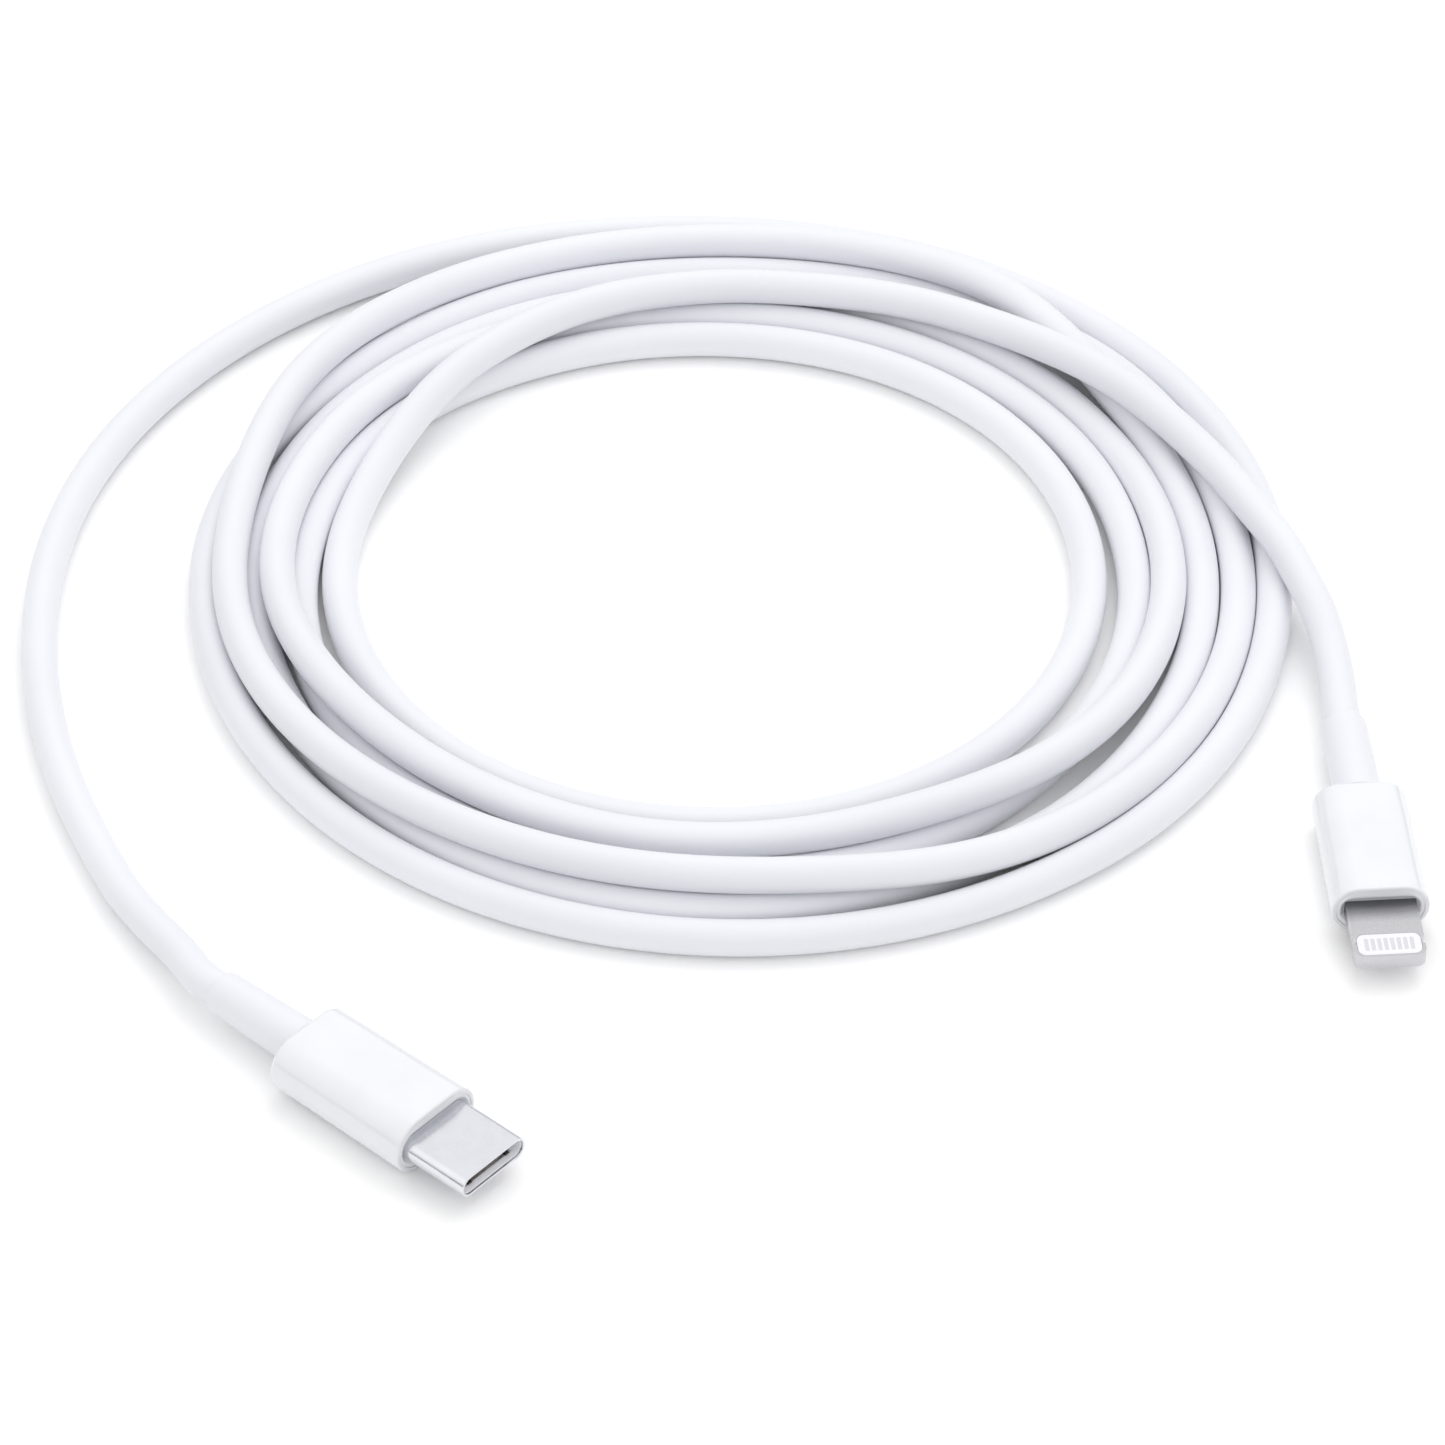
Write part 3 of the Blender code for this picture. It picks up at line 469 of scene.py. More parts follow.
def board_laminate(name, place):
    """Glass-epoxy laminate under green solder mask, with copper tracks showing as paler lines."""
    made, tree, shader = new_material(
        name, Roughness=0.3, IOR=1.5, Coat_Weight=0.4, Coat_Roughness=0.15
    )
    # Tracks run every 0.5 mm, and a band wave of scale 1 repeats every 0.314 m
    bands = {"wave_type": "BANDS", "bands_direction": "X"}
    values = {"Scale": 0.314 / (0.5 * MM), "Distortion": 1.2, "Detail": 2.0}
    link = {"Vector": pattern_place(tree, place)}
    tracks = add_node(tree, "ShaderNodeTexWave", bands, values, link).outputs["Fac"]
    tint = (0.6, 0.8, linear("#1E5B3A"), linear("#3B7F58"))
    vary(tree, shader, tracks, tint=tint, relief=(0.02, 0.5))
    return made


def moulded_epoxy(name, place):
    """Black transfer-moulded epoxy, as on a chip: matt, with fine silica grain."""
    made, tree, shader = new_material(name, Roughness=0.6, IOR=1.55)
    # Silica grain of 0.03 mm, drawn at 0.1 mm so that it shows
    tint = (0.35, 0.7, linear("#1B1C1E"), linear("#34363A"))
    lay_grain(tree, shader, place, 0.1, 4.0, 0.7, tint=tint, relief=(0.006, 0.5))
    return made


def wire_vinyl(name, colour):
    """Extruded vinyl wire insulation: soft gloss with a slight waviness."""
    made, tree, shader = new_material(name, Roughness=0.35, IOR=1.53)
    # Extrusion waviness about 1.5 mm long
    tint = (0.3, 0.7, colour, darken(colour, 0.8))
    lay_grain(tree, shader, None, 1.5, 2.0, tint=tint, relief=(0.02, 0.5))
    return made


def seamless_paper(name):
    """White seamless paper, as studio backdrops are: dead matt, with soft clouds in its tone."""
    made, tree, shader = new_material(name, Roughness=0.9, Specular_IOR_Level=0.1)
    # Clouds of fibre about 6 mm across
    lay_grain(tree, shader, None, 6.0, 4.0, tint=(0.0, 1.0, linear("#FCFCFC"), linear("#FFFFFF")))
    return made


def white_room(strength):
    """An evenly lit white room whose walls fall off to grey near the floor."""
    world = bpy.data.worlds.new("white_room")
    world.use_nodes = True
    tree = world.node_tree
    link = {"Vector": add_node(tree, "ShaderNodeTexCoord").outputs["Generated"]}
    height = add_node(tree, "ShaderNodeSeparateXYZ", None, None, link).outputs["Z"]
    # The walls are grey up to 4 degrees above the floor and white from 14 degrees
    reach = {"From Min": 0.07, "From Max": 0.25}
    rise = add_node(tree, "ShaderNodeMapRange", None, reach, {"Value": height})
    colours = {FIRST_COLOUR: linear("#3C3D40"), SECOND_COLOUR: linear("#FFFFFF")}
    link = {"Factor": rise.outputs["Result"]}
    walls = add_node(tree, "ShaderNodeMix", {"data_type": "RGBA"}, colours, link)
    background = tree.nodes["Background"]
    tree.links.new(walls.outputs[MIXED_COLOUR], background.inputs["Color"])
    background.inputs["Strength"].default_value = strength
    return world


# ---------------------------------------------------------------- shapes

# Points nearer than this are one, in millimetres
MERGE = 0.0005
CURVE_MERGE = 0.001
# Edges that turn further than this many degrees stay sharp
SHARP = 35.0
FLAT_SHARP = 30.0
# Signs of the four corners of an outline, going round
CORNERS = ((1, 1), (-1, 1), (-1, -1), (1, -1))


def outline(width, height, corner, depth, steps=10):
    """A rectangle with round corners, at a depth along the plug's axis, in millimetres."""
    corner = min(corner, width / 2, height / 2)
    points = []
    for turn, (side, top) in enumerate(CORNERS):
        for step in range(steps + 1):
            angle = math.radians(90 * (turn + step / steps))
            x = side * (width / 2 - corner) + corner * math.cos(angle)
            y = top * (height / 2 - corner) + corner * math.sin(angle)
            points.append((x, y, depth))
    return points


def loft(name, rings, place, material):
    """A closed skin through rings of equal count, the last joined to the first."""
    edit = bmesh.new()
    rows = [[edit.verts.new(place @ (Vector(point) * MM)) for point in ring] for ring in rings]
    for row, after in zip(rows, rows[1:] + rows[:1]):
        for i, vertex in enumerate(row):
            j = (i + 1) % len(row)
            edit.faces.new((vertex, row[j], after[j], after[i]))
    bmesh.ops.remove_doubles(edit, verts=edit.verts, dist=MERGE * MM)
    bmesh.ops.recalc_face_normals(edit, faces=edit.faces)
    mesh = bpy.data.meshes.new(name)
    edit.to_mesh(mesh)
    edit.free()
    return finish_piece(name, mesh, material)


def finish_piece(name, mesh, material, sharp=SHARP):
    """An object at the origin for a mesh that is already in place."""
    mesh.name = name
    mesh.materials.clear()
    mesh.materials.append(material)
    mesh.shade_smooth()
    mesh.set_sharp_from_angle(angle=math.radians(sharp))
    piece = bpy.data.objects.new(name, mesh)
    bpy.context.scene.collection.objects.link(piece)
    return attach(piece, BODY)


def housing_shape(name, sizes, rounds, place, material):
    """A moulded sleeve with a rounded lip, an evenly tapered body and a rounded back."""
    width, height, length, taper, wall = sizes
    front, back = rounds

    def ring(inset, depth):
        share = 1.0 + (taper - 1.0) * min(max(-depth / length, 0.0), 1.0)
        w, h = width * share - 2 * inset, height * share - 2 * inset
        return outline(w, h, h / 2 - 0.05, depth, 12)

    lip = wall - front
    rings = [ring(wall, 1.0 - length), ring(wall, -0.6)]
    rings += [ring(wall - lip + lip * (1 - c), -lip + lip * s) for c, s in quarter(5)]
    rings += [ring(front * (1 - c), -front * (1 - s)) for c, s in quarter(8, rising=True)]
    rings += [ring(0.0, -length * share) for share in (0.15, 0.35, 0.55, 0.75)]
    rings += [ring(back * (1 - c), -length + back * (1 - s)) for c, s in quarter(8)]
    hole = (2 * HOUSING_HOLE, 2 * HOUSING_HOLE, HOUSING_HOLE)
    rings += [outline(*hole, -length, 12), outline(*hole, 1.0 - length, 12)]
    return loft(name, rings, place, material)


def quarter(steps, rising=False):
    """Pairs that run round a quarter turn, for lips and rounded backs."""
    for step in range(steps + 1):
        angle = math.radians(90 * step / steps)
        pair = (math.cos(angle), math.sin(angle))
        yield pair[::-1] if rising else pair


def shell_shape(name, place, material):
    """The drawn shell: a tube between two outlines, with small rounds at its front edges."""

    def ring(size, grow, depth):
        width, height, corner = size
        return outline(width + 2 * grow, height + 2 * grow, corner + grow, depth)

    root = SHELL_FRONT - SHELL_LIP
    rings = [ring(SHELL_INSIDE, 0.0, SHELL_BACK)]
    for c, s in quarter(4):
        rings.append(ring(SHELL_INSIDE, SHELL_LIP * (1 - c), root + SHELL_LIP * s))
    for c, s in quarter(4):
        rings.append(ring(SHELL_OUTSIDE, -SHELL_LIP * (1 - s), root + SHELL_LIP * c))
    rings.append(ring(SHELL_OUTSIDE, 0.0, SHELL_BACK))
    return loft(name, rings, place, material)


def nose_ring_shape(name, outlines, floor_depth, place, material):
    """A ring that fills the housing's nose and dips smoothly from its rim to its slot."""
    outer, inner = outlines
    rings = [outline(*inner, RING_BACK), outline(*inner, floor_depth)]
    for step in range(1, 12):
        share = step / 12
        size = [start + (end - start) * share for start, end in zip(inner, outer)]
        climb = min(1.0, share / 0.6)
        rise = climb * climb * (3 - 2 * climb)
        rings.append(outline(*size, floor_depth + (RING_RIM - floor_depth) * rise))
    rings += [outline(*outer, RING_RIM), outline(*outer, RING_BACK)]
    return loft(name, rings, place, material)


def relief_shape(name, housing, relief, place, material):
    """A tapered sleeve on the cord, with a soft shoulder at its thin end."""
    length = housing[2]
    root, tip, reach = relief
    end = -length - reach
    profile = [(1.2, 2.2 - length), (2.1, 2.2 - length), (2.1, 1.05 - length), (1.8, 1.05 - length)]
    profile += [(1.8, -length - 0.05), (root - 0.12, -length - 0.05), (root, -length - 0.17)]
    for share in (0.2, 0.4, 0.6, 0.8):
        profile.append((root + (tip - root) * share**1.3, -length - 0.17 - (reach - 0.57) * share))
    for step in range(7):
        angle = math.radians(90 * step / 6)
        profile.append((tip - 0.35 * (1 - math.cos(angle)), end + 0.4 - 0.4 * math.sin(angle)))
    profile.append((1.2, end))
    rings = [outline(2 * radius, 2 * radius, radius, depth, 12) for radius, depth in profile]
    return loft(name, rings, place, material)


def flat_solid(name, outlines, thickness, place, edge_round, segments):
    """A flat outline with any holes, given its thickness and rounded edges, as a mesh in place."""
    curve = bpy.data.curves.new(name, "CURVE")
    curve.dimensions = "2D"
    curve.fill_mode = "BOTH"
    curve.extrude = thickness / 2 * MM
    for points in outlines:
        spline = curve.splines.new("POLY")
        spline.points.add(len(points) - 1)
        for point, (x, z) in zip(spline.points, points):
            point.co = (x * MM, z * MM, 0.0, 1.0)
        spline.use_cyclic_u = True
    guide = bpy.data.objects.new(name, curve)
    bpy.context.scene.collection.objects.link(guide)
    graph = bpy.context.evaluated_depsgraph_get()
    mesh = bpy.data.meshes.new_from_object(guide.evaluated_get(graph))
    bpy.data.objects.remove(guide)
    edit = bmesh.new()
    edit.from_mesh(mesh)
    bmesh.ops.remove_doubles(edit, verts=edit.verts, dist=CURVE_MERGE * MM)
    bmesh.ops.recalc_face_normals(edit, faces=edit.faces)
    # The rims of the two flat faces: level edges where the skin turns by more than 60 degrees
    rims = [e for e in edit.edges if len(e.link_faces) == 2]
    rims = [e for e in rims if e.calc_face_angle() > math.radians(60)]
    rims = [e for e in rims if abs(e.verts[0].co.z - e.verts[1].co.z) < 0.01 * MM]
    bmesh.ops.bevel(
        edit,
        geom=rims,
        offset=edge_round * MM,
        offset_type="OFFSET",
        segments=segments,
        profile=0.5,
        affect="EDGES",
        clamp_overlap=True,
    )
    edit.to_mesh(mesh)
    edit.free()
    mesh.transform(place @ Matrix.Rotation(math.pi / 2, 4, "X"))
    return mesh


def tab_outline():
    """The tab from above: round front corners and a latch notch in each side."""
    half = TAB_HALF_WIDTH
    side = [(half, TAB_BACK), (half, NOTCH_PLACE - NOTCH_REACH)]
    for step in range(1, 12):
        angle = math.pi * step / 12
        across = half - NOTCH_DEPTH * math.sin(angle)
        side.append((across, NOTCH_PLACE - NOTCH_REACH * math.cos(angle)))
    side.append((half, NOTCH_PLACE + NOTCH_REACH))
    for c, s in quarter(12):
        across = half - TAB_CORNER + TAB_CORNER * c
        side.append((across, TAB_FRONT - TAB_CORNER + TAB_CORNER * s))
    return side + [(-x, z) for x, z in reversed(side)]


def window_outline(size):
    """An outline in the tab's window, from above."""
    return [(x, y + WINDOW_MIDDLE) for x, y, _ in outline(*size, 0.0, 8)]


# ---------------------------------------------------------------- geometry node trees


def new_tree(name, inputs):
    """A Geometry Nodes tree with named inputs, and its group input and output nodes."""
    tree = bpy.data.node_groups.new(name, "GeometryNodeTree")
    tree.interface.new_socket("Geometry", in_out="INPUT", socket_type="NodeSocketGeometry")
    for label, kind, value in inputs:
        socket = tree.interface.new_socket(label, in_out="INPUT", socket_type=kind)
        if value is not None:
            socket.default_value = value
    tree.interface.new_socket("Geometry", in_out="OUTPUT", socket_type="NodeSocketGeometry")
    return tree, tree.nodes.new("NodeGroupInput"), tree.nodes.new("NodeGroupOutput")


def run_tree(guide, tree, values):
    """Give an object the tree with its inputs set, and return the plain mesh that it makes."""
    modifier = guide.modifiers.new(tree.name, "NODES")
    modifier.node_group = tree
    for item in tree.interface.items_tree:
        if item.item_type == "SOCKET" and item.in_out == "INPUT" and item.name in values:
            modifier[item.identifier] = values[item.name]
    graph = bpy.context.evaluated_depsgraph_get()
    mesh = bpy.data.meshes.new_from_object(guide.evaluated_get(graph))
    guide.modifiers.clear()
    bpy.data.objects.remove(guide)
    return mesh


def dress(tree, made, mesh, material):
    """End a tree in real geometry with its material."""
    whole = add_node(tree, "GeometryNodeRealizeInstances", None, None, {"Geometry": mesh})
    links = {"Geometry": whole.outputs["Geometry"], "Material": material}
    dressed = add_node(tree, "GeometryNodeSetMaterial", None, None, links)
    tree.links.new(dressed.outputs["Geometry"], made.inputs["Geometry"])


def cord_tree():
    """A round jacket along a line, closed at both ends."""
    inputs = (
        ("Radius", "NodeSocketFloat", 1.75 * MM),
        ("Sides", "NodeSocketInt", 24),
        ("Material", "NodeSocketMaterial", None),
    )
    tree, given, made = new_tree("cord_jacket", inputs)
    given = given.outputs
    links = {"Resolution": given["Sides"], "Radius": given["Radius"]}
    circle = add_node(tree, "GeometryNodeCurvePrimitiveCircle", None, None, links)
    links = {"Curve": given["Geometry"], "Profile Curve": circle.outputs["Curve"]}
    jacket = add_node(tree, "GeometryNodeCurveToMesh", None, {"Fill Caps": True}, links)
    dress(tree, made, jacket.outputs["Mesh"], given["Material"])
    return tree


def contact_row_tree():
    """A row of flat bars with round ends, each with its own thickness."""
    inputs = (
        ("Count", "NodeSocketInt", CONTACT_COUNT),
        ("Pitch", "NodeSocketFloat", 0.61 * MM),
        ("Width", "NodeSocketFloat", 0.38 * MM),
        ("Length", "NodeSocketFloat", 1.6 * MM),
        ("Thickness", "NodeSocketFloat", 0.16 * MM),
        ("Corner", "NodeSocketFloat", 0.1 * MM),
        ("Material", "NodeSocketMaterial", None),
    )
    tree, given, made = new_tree("contact_row", inputs)
    given = given.outputs
    links = {"Width": given["Width"], "Height": given["Length"]}
    bar = add_node(tree, "GeometryNodeCurvePrimitiveQuadrilateral", None, None, links)
    links = {"Curve": bar.outputs["Curve"], "Radius": given["Corner"]}
    rounded = add_node(tree, "GeometryNodeFilletCurve", {"mode": "POLY"}, {"Count": 4}, links)
    links = {"Curve": rounded.outputs["Curve"]}
    face = add_node(tree, "GeometryNodeFillCurve", {"mode": "NGONS"}, None, links).outputs["Mesh"]
    links = {"Mesh": face, "Offset Scale": given["Thickness"]}
    joined = {"Individual": False}
    solid = add_node(tree, "GeometryNodeExtrudeMesh", {"mode": "FACES"}, joined, links)
    underside = add_node(tree, "GeometryNodeFlipFaces", None, None, {"Mesh": face})
    closed = add_node(tree, "GeometryNodeJoinGeometry")
    tree.links.new(solid.outputs["Mesh"], closed.inputs["Geometry"])
    tree.links.new(underside.outputs["Mesh"], closed.inputs["Geometry"])
    links = {"Geometry": closed.outputs["Geometry"]}
    near = {"Distance": 0.001 * MM}
    merged = add_node(tree, "GeometryNodeMergeByDistance", None, near, links)
    step = add_node(tree, "ShaderNodeCombineXYZ", None, None, {"X": given["Pitch"]})
    links = {"Count": given["Count"], "Offset": step.outputs["Vector"]}
    line = add_node(tree, "GeometryNodeMeshLine", {"mode": "OFFSET"}, None, links)
    links = {"Points": line.outputs["Mesh"], "Instance": merged.outputs["Geometry"]}
    row = add_node(tree, "GeometryNodeInstanceOnPoints", None, None, links)
    dress(tree, made, row.outputs["Instances"], given["Material"])
    return tree


# ---------------------------------------------------------------- settings


def size_setting(name, description, default):
    """A length in metres that a user may change."""
    return bpy.props.FloatProperty(
        name=name,
        description=description,
        default=default,
        min=0.0,
        subtype="DISTANCE",
        unit="LENGTH",
    )


def colour_setting(name, description, code):
    """A colour that a user may change."""
    return bpy.props.FloatVectorProperty(
        name=name,
        description=description,
        default=linear(code),
        size=4,
        min=0.0,
        max=1.0,
        subtype="COLOR",
    )


class CableCordSettings(bpy.types.PropertyGroup):
    """Sizes and colours of the cord."""

    diameter: size_setting("Diameter", "Outside diameter of the cord", 0.0035)
    sides: bpy.props.IntProperty(
        name="Sides", description="Faces round the cord", default=24, min=8, max=64
    )
    colour: colour_setting("Colour", "Colour of the cord's jacket", "#E9EAEF")
    shade: colour_setting("Shade", "Second tone of the cord's jacket", "#E5E6EB")


class CablePlugSettings(bpy.types.PropertyGroup):
    """Sizes and colours of the two plugs."""

    housing_colour: colour_setting("Housing", "Colour of the moulded housings", "#E6E7EA")
    ring_colour: colour_setting("Nose ring", "Colour of the housings' nose rings", "#EEEFF3")
    shell_colour: colour_setting("Shell", "Colour of the drawn steel shell", "#E4E5EA")
    tab_colour: colour_setting("Tab", "Colour of the blasted steel tab", "#D5D5D8")
    carrier_colour: colour_setting("Carrier", "Colour of the contact carriers", "#F0F0F4")
    contact_pitch: size_setting("Contact pitch", "Distance between the tab's contacts", 0.00061)
    contact_width: size_setting("Contact width", "Width of a contact on the tab", 0.00038)


class CableStageSettings(bpy.types.PropertyGroup):
    """Light, floor and camera."""

    key_power: bpy.props.FloatProperty(
        name="Key light",
        description="Power of the large light above and behind",
        default=3.6,
        min=0.0,
        subtype="POWER",
        unit="POWER",
    )
    sky: bpy.props.FloatProperty(
        name="Room light",
        description="Strength of the even light from all sides",
        default=1.03,
        min=0.0,
    )
    distance: size_setting("Camera distance", "From the camera to the middle of the cable", 0.6766)


# ---------------------------------------------------------------- operators

# Wires from the cord to each board, with the colours of their vinyl
WIRES = (("red", "#C4312B"), ("black", "#232326"), ("green", "#2F8B4C"), ("white", "#ECECE9"))

# The stage, in metres and degrees. Lamps are square, and have a place from the point that the
# camera looks at and a share of the key light's power.
LOOK_AT = Vector((-9.31 * MM, 34.73 * MM, 0.0))
FLOOR_HALF = 3.0
LIGHT_SIZE = 0.9
LIGHTS = (("key_light", (0.3, 0.55, 1.1), 1.0), ("fill_light", (-0.9, -0.4, 0.9), 0.1))
CAMERA_ELEVATION = 42.0
CLIP = (0.01, 20.0)
# In millimetres, as lenses are named
SENSOR_WIDTH = 36.0
FOCAL_LENGTH = 174.4


def relief_colours(context):
    """The two tones of the strain reliefs, which are the cord's."""
    settings = context.scene.cable_cord
    return tuple(settings.colour), tuple(settings.shade)


class CABLE_OT_cord(bpy.types.Operator):
    """Wind the cord from plug to plug."""

    bl_idname = "cable.cord"
    bl_label = "Cord"

    def execute(self, context):
        settings = context.scene.cable_cord
        route = cord_route(settings.diameter / MM)
        colour, shade = tuple(settings.colour), tuple(settings.shade)
        jacket = extruded_elastomer("matt_elastomer_cord", colour, shade)
        curve = bpy.data.curves.new("cord_line", "CURVE")
        curve.dimensions = "3D"
        spline = curve.splines.new("POLY")
        spline.points.add(len(route) - 1)
        for point, place in zip(spline.points, route):
            point.co = (*place, 1.0)
        guide = bpy.data.objects.new("cord_line", curve)
        context.scene.collection.objects.link(guide)
        values = {
            "Radius": settings.diameter / 2,
            "Sides": settings.sides,
            "Material": jacket,
        }
        mesh = run_tree(guide, cord_tree(), values)
        cord = finish_piece("cord", mesh, jacket)
        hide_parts("cord_coil", "cord_type_c_tail", "cord_tab_tail")
        return {"FINISHED"}


class CABLE_OT_shell_plug(bpy.types.Operator):
    """Build the plug with the steel shell."""

    bl_idname = "cable.shell_plug"
    bl_label = "Shell plug"

    def execute(self, context):
        settings = context.scene.cable_plugs
        place = SHELL_PLUG
        colour = tuple(settings.housing_colour)
        gloss = moulded_polycarbonate("gloss_polycarbonate_shell_plug", colour, place)
        housing = housing_shape("shell_plug_housing", SHELL_HOUSING, SHELL_ROUNDS, place, gloss)
        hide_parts("type_c_housing")

        colour = tuple(settings.ring_colour)
        nylon = moulded_grey_nylon("satin_nylon_shell_plug", colour, place)
        ring = nose_ring_shape("shell_plug_nose_ring", SHELL_RING, SHELL_RING_FLOOR, place, nylon)
        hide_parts("type_c_nose_ring")

        colour = tuple(settings.shell_colour)
        steel = drawn_stainless_steel("drawn_steel_shell", colour, place, 0.22, 0.08, 0.002)
        shell = shell_shape("shell_plug_shell", place, steel)
        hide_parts("type_c_shell")

        colour = tuple(settings.carrier_colour)
        polymer = moulded_crystal_polymer("crystal_polymer_shell_plug", colour, place)
        rings = [
            outline(*CARRIER_SLOT, CARRIER_BACK),
            outline(*CARRIER_SLOT, CARRIER_THROAT),
            outline(*CARRIER_MOUTH, CARRIER_LIP),
            outline(*CARRIER_BODY, CARRIER_FRONT),
            outline(*CARRIER_BODY, CARRIER_BACK),
        ]
        carrier = loft("shell_plug_contact_carrier", rings, place, polymer)
        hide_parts("type_c_contact_carrier")

        soft = extruded_elastomer("matt_elastomer_shell_relief", *relief_colours(context))
        relief = relief_shape("shell_plug_strain_relief", SHELL_HOUSING, SHELL_RELIEF, place, soft)
        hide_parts("type_c_strain_relief")
        return {"FINISHED"}


class CABLE_OT_tab_plug(bpy.types.Operator):
    """Build the plug with the flat tab."""

    bl_idname = "cable.tab_plug"
    bl_label = "Tab plug"

    def execute(self, context):
        settings = context.scene.cable_plugs
        place = TAB_PLUG
        colour = tuple(settings.housing_colour)
        gloss = moulded_polycarbonate("gloss_polycarbonate_tab_plug", colour, place)
        housing = housing_shape("tab_plug_housing", TAB_HOUSING, TAB_ROUNDS, place, gloss)
        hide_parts("tab_housing")

        nylon = moulded_grey_nylon("satin_nylon_tab_plug", tuple(settings.ring_colour), place)
        ring = nose_ring_shape("tab_plug_nose_ring", TAB_RING, TAB_RING_FLOOR, place, nylon)
        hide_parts("tab_nose_ring")

        steel = blasted_steel("blasted_steel_tab", tuple(settings.tab_colour), place)
        outlines = [tab_outline(), window_outline(TAB_WINDOW)]
        mesh = flat_solid("tab_plug_tab", outlines, TAB_THICKNESS, place, TAB_EDGE, 3)
        tab = finish_piece("tab_plug_tab", mesh, steel, FLAT_SHARP)
        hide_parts("tab_frame")

        colour = tuple(settings.carrier_colour)
        polymer = moulded_crystal_polymer("crystal_polymer_tab_plug", colour, place)
        mesh = flat_solid(
            "tab_plug_contact_carrier",
            [window_outline(TAB_CARRIER)],
            TAB_CARRIER_THICKNESS,
            place,
            TAB_CARRIER_EDGE,
            2,
        )
        carrier = finish_piece("tab_plug_contact_carrier", mesh, polymer, FLAT_SHARP)
        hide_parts("tab_contact_carrier")

        soft = extruded_elastomer("matt_elastomer_tab_relief", *relief_colours(context))
        relief = relief_shape("tab_plug_strain_relief", TAB_HOUSING, TAB_RELIEF, place, soft)
        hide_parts("tab_strain_relief")
        return {"FINISHED"}


class CABLE_OT_tab_contacts(bpy.types.Operator):
    """Set the two rows of contacts in the tab."""

    bl_idname = "cable.tab_contacts"
    bl_label = "Tab contacts"

    def execute(self, context):
        settings = context.scene.cable_plugs
        pale, worn = linear("#E6E6EA"), linear("#DCDCE0")
        plating = plated_alloy("pale_plated_contacts", pale, worn, TAB_PLUG)
        tree = contact_row_tree()
        first = -(CONTACT_COUNT - 1) / 2 * settings.contact_pitch
        for face, turn in (("top", 0.0), ("bottom", math.pi)):
            guide = bpy.data.objects.new(f"tab_contacts_{face}", bpy.data.meshes.new("row_guide"))
            context.scene.collection.objects.link(guide)
            values = {
                "Pitch": settings.contact_pitch,
                "Width": settings.contact_width,
                "Material": plating,
            }
            mesh = run_tree(guide, tree, values)
            start = Matrix.Translation((first, 0.0, CONTACT_FLOOR * MM))
            level = Matrix.Rotation(-math.pi / 2, 4, "X")
            lay = Matrix.Translation((0.0, 0.0, WINDOW_MIDDLE * MM)) @ level
            mesh.transform(TAB_PLUG @ Matrix.Rotation(turn, 4, "Z") @ lay @ start)
            row = finish_piece(f"tab_plug_contacts_{face}", mesh, plating)
            numbers = range(1, CONTACT_COUNT + 1)
            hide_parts(*[f"tab_contact_{face}_{number}" for number in numbers])
        return {"FINISHED"}


class CABLE_OT_inner_pieces(bpy.types.Operator):
    """Finish the pieces inside the plugs, which keep their CAD shape."""

    bl_idname = "cable.inner_pieces"
    bl_label = "Inner pieces"

    def execute(self, context):
        finishes = {}
        for prefix, place in (("type_c", SHELL_PLUG), ("tab", TAB_PLUG)):
            finishes[f"{prefix}_board"] = board_laminate(f"green_laminate_{prefix}", place)
            finishes[f"{prefix}_controller_chip"] = moulded_epoxy(f"black_epoxy_{prefix}", place)
            finishes[f"{prefix}_shield_can"] = drawn_stainless_steel(
                f"tinned_steel_{prefix}", linear("#C9CACC"), place, 0.35, 0.1, 0.003
            )
        finishes["type_c_contact_"] = plated_alloy(
            "gold_plated_contacts", linear("#E0BC72"), linear("#C9A45C"), SHELL_PLUG
        )
        finishes["type_c_row_spacer"] = moulded_crystal_polymer(
            "crystal_polymer_spacer", linear("#EDEDF0"), SHELL_PLUG
        )
        finishes["type_c_ground_spring"] = padded_spring_steel("spring_steel_painted_shade_pads", SHELL_PLUG)
        finishes["type_c_latch"] = drawn_stainless_steel(
            "rolled_spring_steel", linear("#8E8D8E"), SHELL_PLUG, 0.3, 0.06, 0.002
        )
        for colour, code in WIRES:
            vinyl = wire_vinyl(f"vinyl_{colour}", linear(code))
            finishes[f"type_c_wire_{colour}"] = vinyl
            finishes[f"tab_wire_{colour}"] = vinyl
        for name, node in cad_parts.items():
            for start, finish in finishes.items():
                if name.startswith(start):
                    node.data.materials.clear()
                    node.data.materials.append(finish)
        return {"FINISHED"}


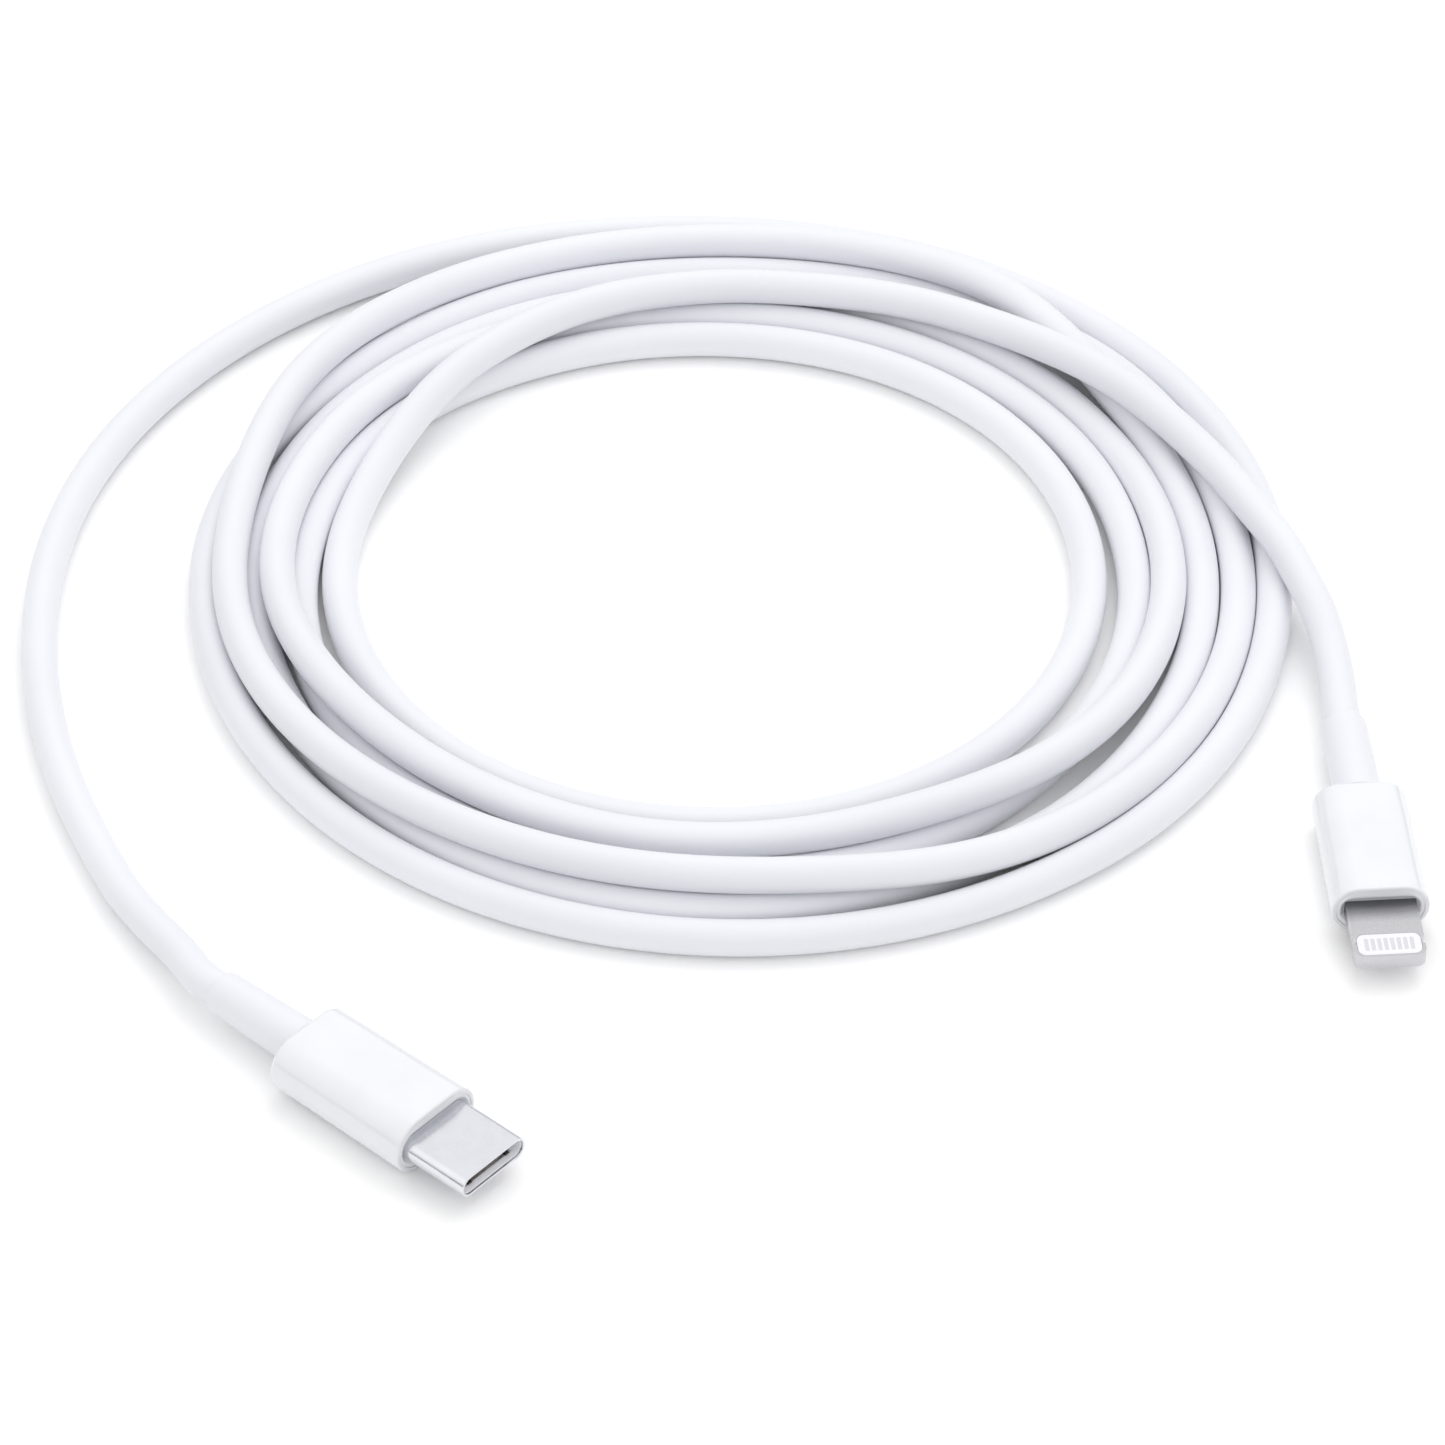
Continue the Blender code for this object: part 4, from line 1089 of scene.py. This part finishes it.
class CABLE_OT_stage(bpy.types.Operator):
    """Lay the floor, hang the lights and place the camera."""

    bl_idname = "cable.stage"
    bl_label = "Stage"

    def execute(self, context):
        settings = context.scene.cable_stage
        edit = bmesh.new()
        bmesh.ops.create_grid(edit, x_segments=1, y_segments=1, size=FLOOR_HALF)
        mesh = bpy.data.meshes.new("floor")
        edit.to_mesh(mesh)
        edit.free()
        mesh.materials.append(seamless_paper("white_paper_floor"))
        floor = bpy.data.objects.new("floor", mesh)
        context.scene.collection.objects.link(floor)

        context.scene.view_settings.view_transform = "Standard"
        context.scene.view_settings.look = "None"
        context.scene.world = white_room(settings.sky)

        for name, spot, share in LIGHTS:
            lamp = bpy.data.lights.new(name, "AREA")
            lamp.shape = "SQUARE"
            lamp.size = LIGHT_SIZE
            lamp.energy = settings.key_power * share
            light = bpy.data.objects.new(name, lamp)
            context.scene.collection.objects.link(light)
            light.location = LOOK_AT + Vector(spot)
            light.rotation_euler = (-Vector(spot)).to_track_quat("-Z", "Y").to_euler()
            # The key light's mirror image would burn out the metals
            light.visible_glossy = name != "key_light"

        lens = bpy.data.cameras.new("camera")
        lens.sensor_width = SENSOR_WIDTH
        lens.lens = FOCAL_LENGTH
        lens.clip_start, lens.clip_end = CLIP
        camera = bpy.data.objects.new("camera", lens)
        context.scene.collection.objects.link(camera)
        elevation = math.radians(CAMERA_ELEVATION)
        back = Vector((0.0, -math.cos(elevation), math.sin(elevation)))
        camera.location = LOOK_AT + back * settings.distance
        camera.rotation_euler = (math.radians(90.0) - elevation, 0.0, 0.0)
        context.scene.camera = camera
        return {"FINISHED"}


class CABLE_PT_panel(bpy.types.Panel):
    """The cable's pieces and sizes."""

    bl_idname = "CABLE_PT_panel"
    bl_label = "Charging Cable"
    bl_space_type = "VIEW_3D"
    bl_region_type = "UI"
    bl_category = "Cable"

    def draw(self, context):
        scene = context.scene
        for group in (scene.cable_cord, scene.cable_plugs, scene.cable_stage):
            column = self.layout.column()
            for name in group.__annotations__:
                column.prop(group, name)
        for operator in OPERATORS:
            self.layout.operator(operator.bl_idname)


SETTINGS = (CableCordSettings, CablePlugSettings, CableStageSettings)
OPERATORS = (
    CABLE_OT_stage,
    CABLE_OT_tab_plug,
    CABLE_OT_tab_contacts,
    CABLE_OT_shell_plug,
    CABLE_OT_inner_pieces,
    CABLE_OT_cord,
)


def register():
    """Register the classes and hang the settings on the scene."""
    for cls in (*SETTINGS, *OPERATORS, CABLE_PT_panel):
        bpy.utils.register_class(cls)
    bpy.types.Scene.cable_cord = bpy.props.PointerProperty(type=CableCordSettings)
    bpy.types.Scene.cable_plugs = bpy.props.PointerProperty(type=CablePlugSettings)
    bpy.types.Scene.cable_stage = bpy.props.PointerProperty(type=CableStageSettings)


def unregister():
    """Take the settings and the classes away again."""
    del bpy.types.Scene.cable_cord
    del bpy.types.Scene.cable_plugs
    del bpy.types.Scene.cable_stage
    for cls in reversed((*SETTINGS, *OPERATORS, CABLE_PT_panel)):
        bpy.utils.unregister_class(cls)


def main():
    """Build the stage, the plugs and the cord."""
    register()
    bpy.ops.cable.stage()
    bpy.ops.cable.tab_plug()
    bpy.ops.cable.tab_contacts()
    bpy.ops.cable.shell_plug()
    bpy.ops.cable.inner_pieces()
    bpy.ops.cable.cord()


if __name__ == "__main__":
    main()
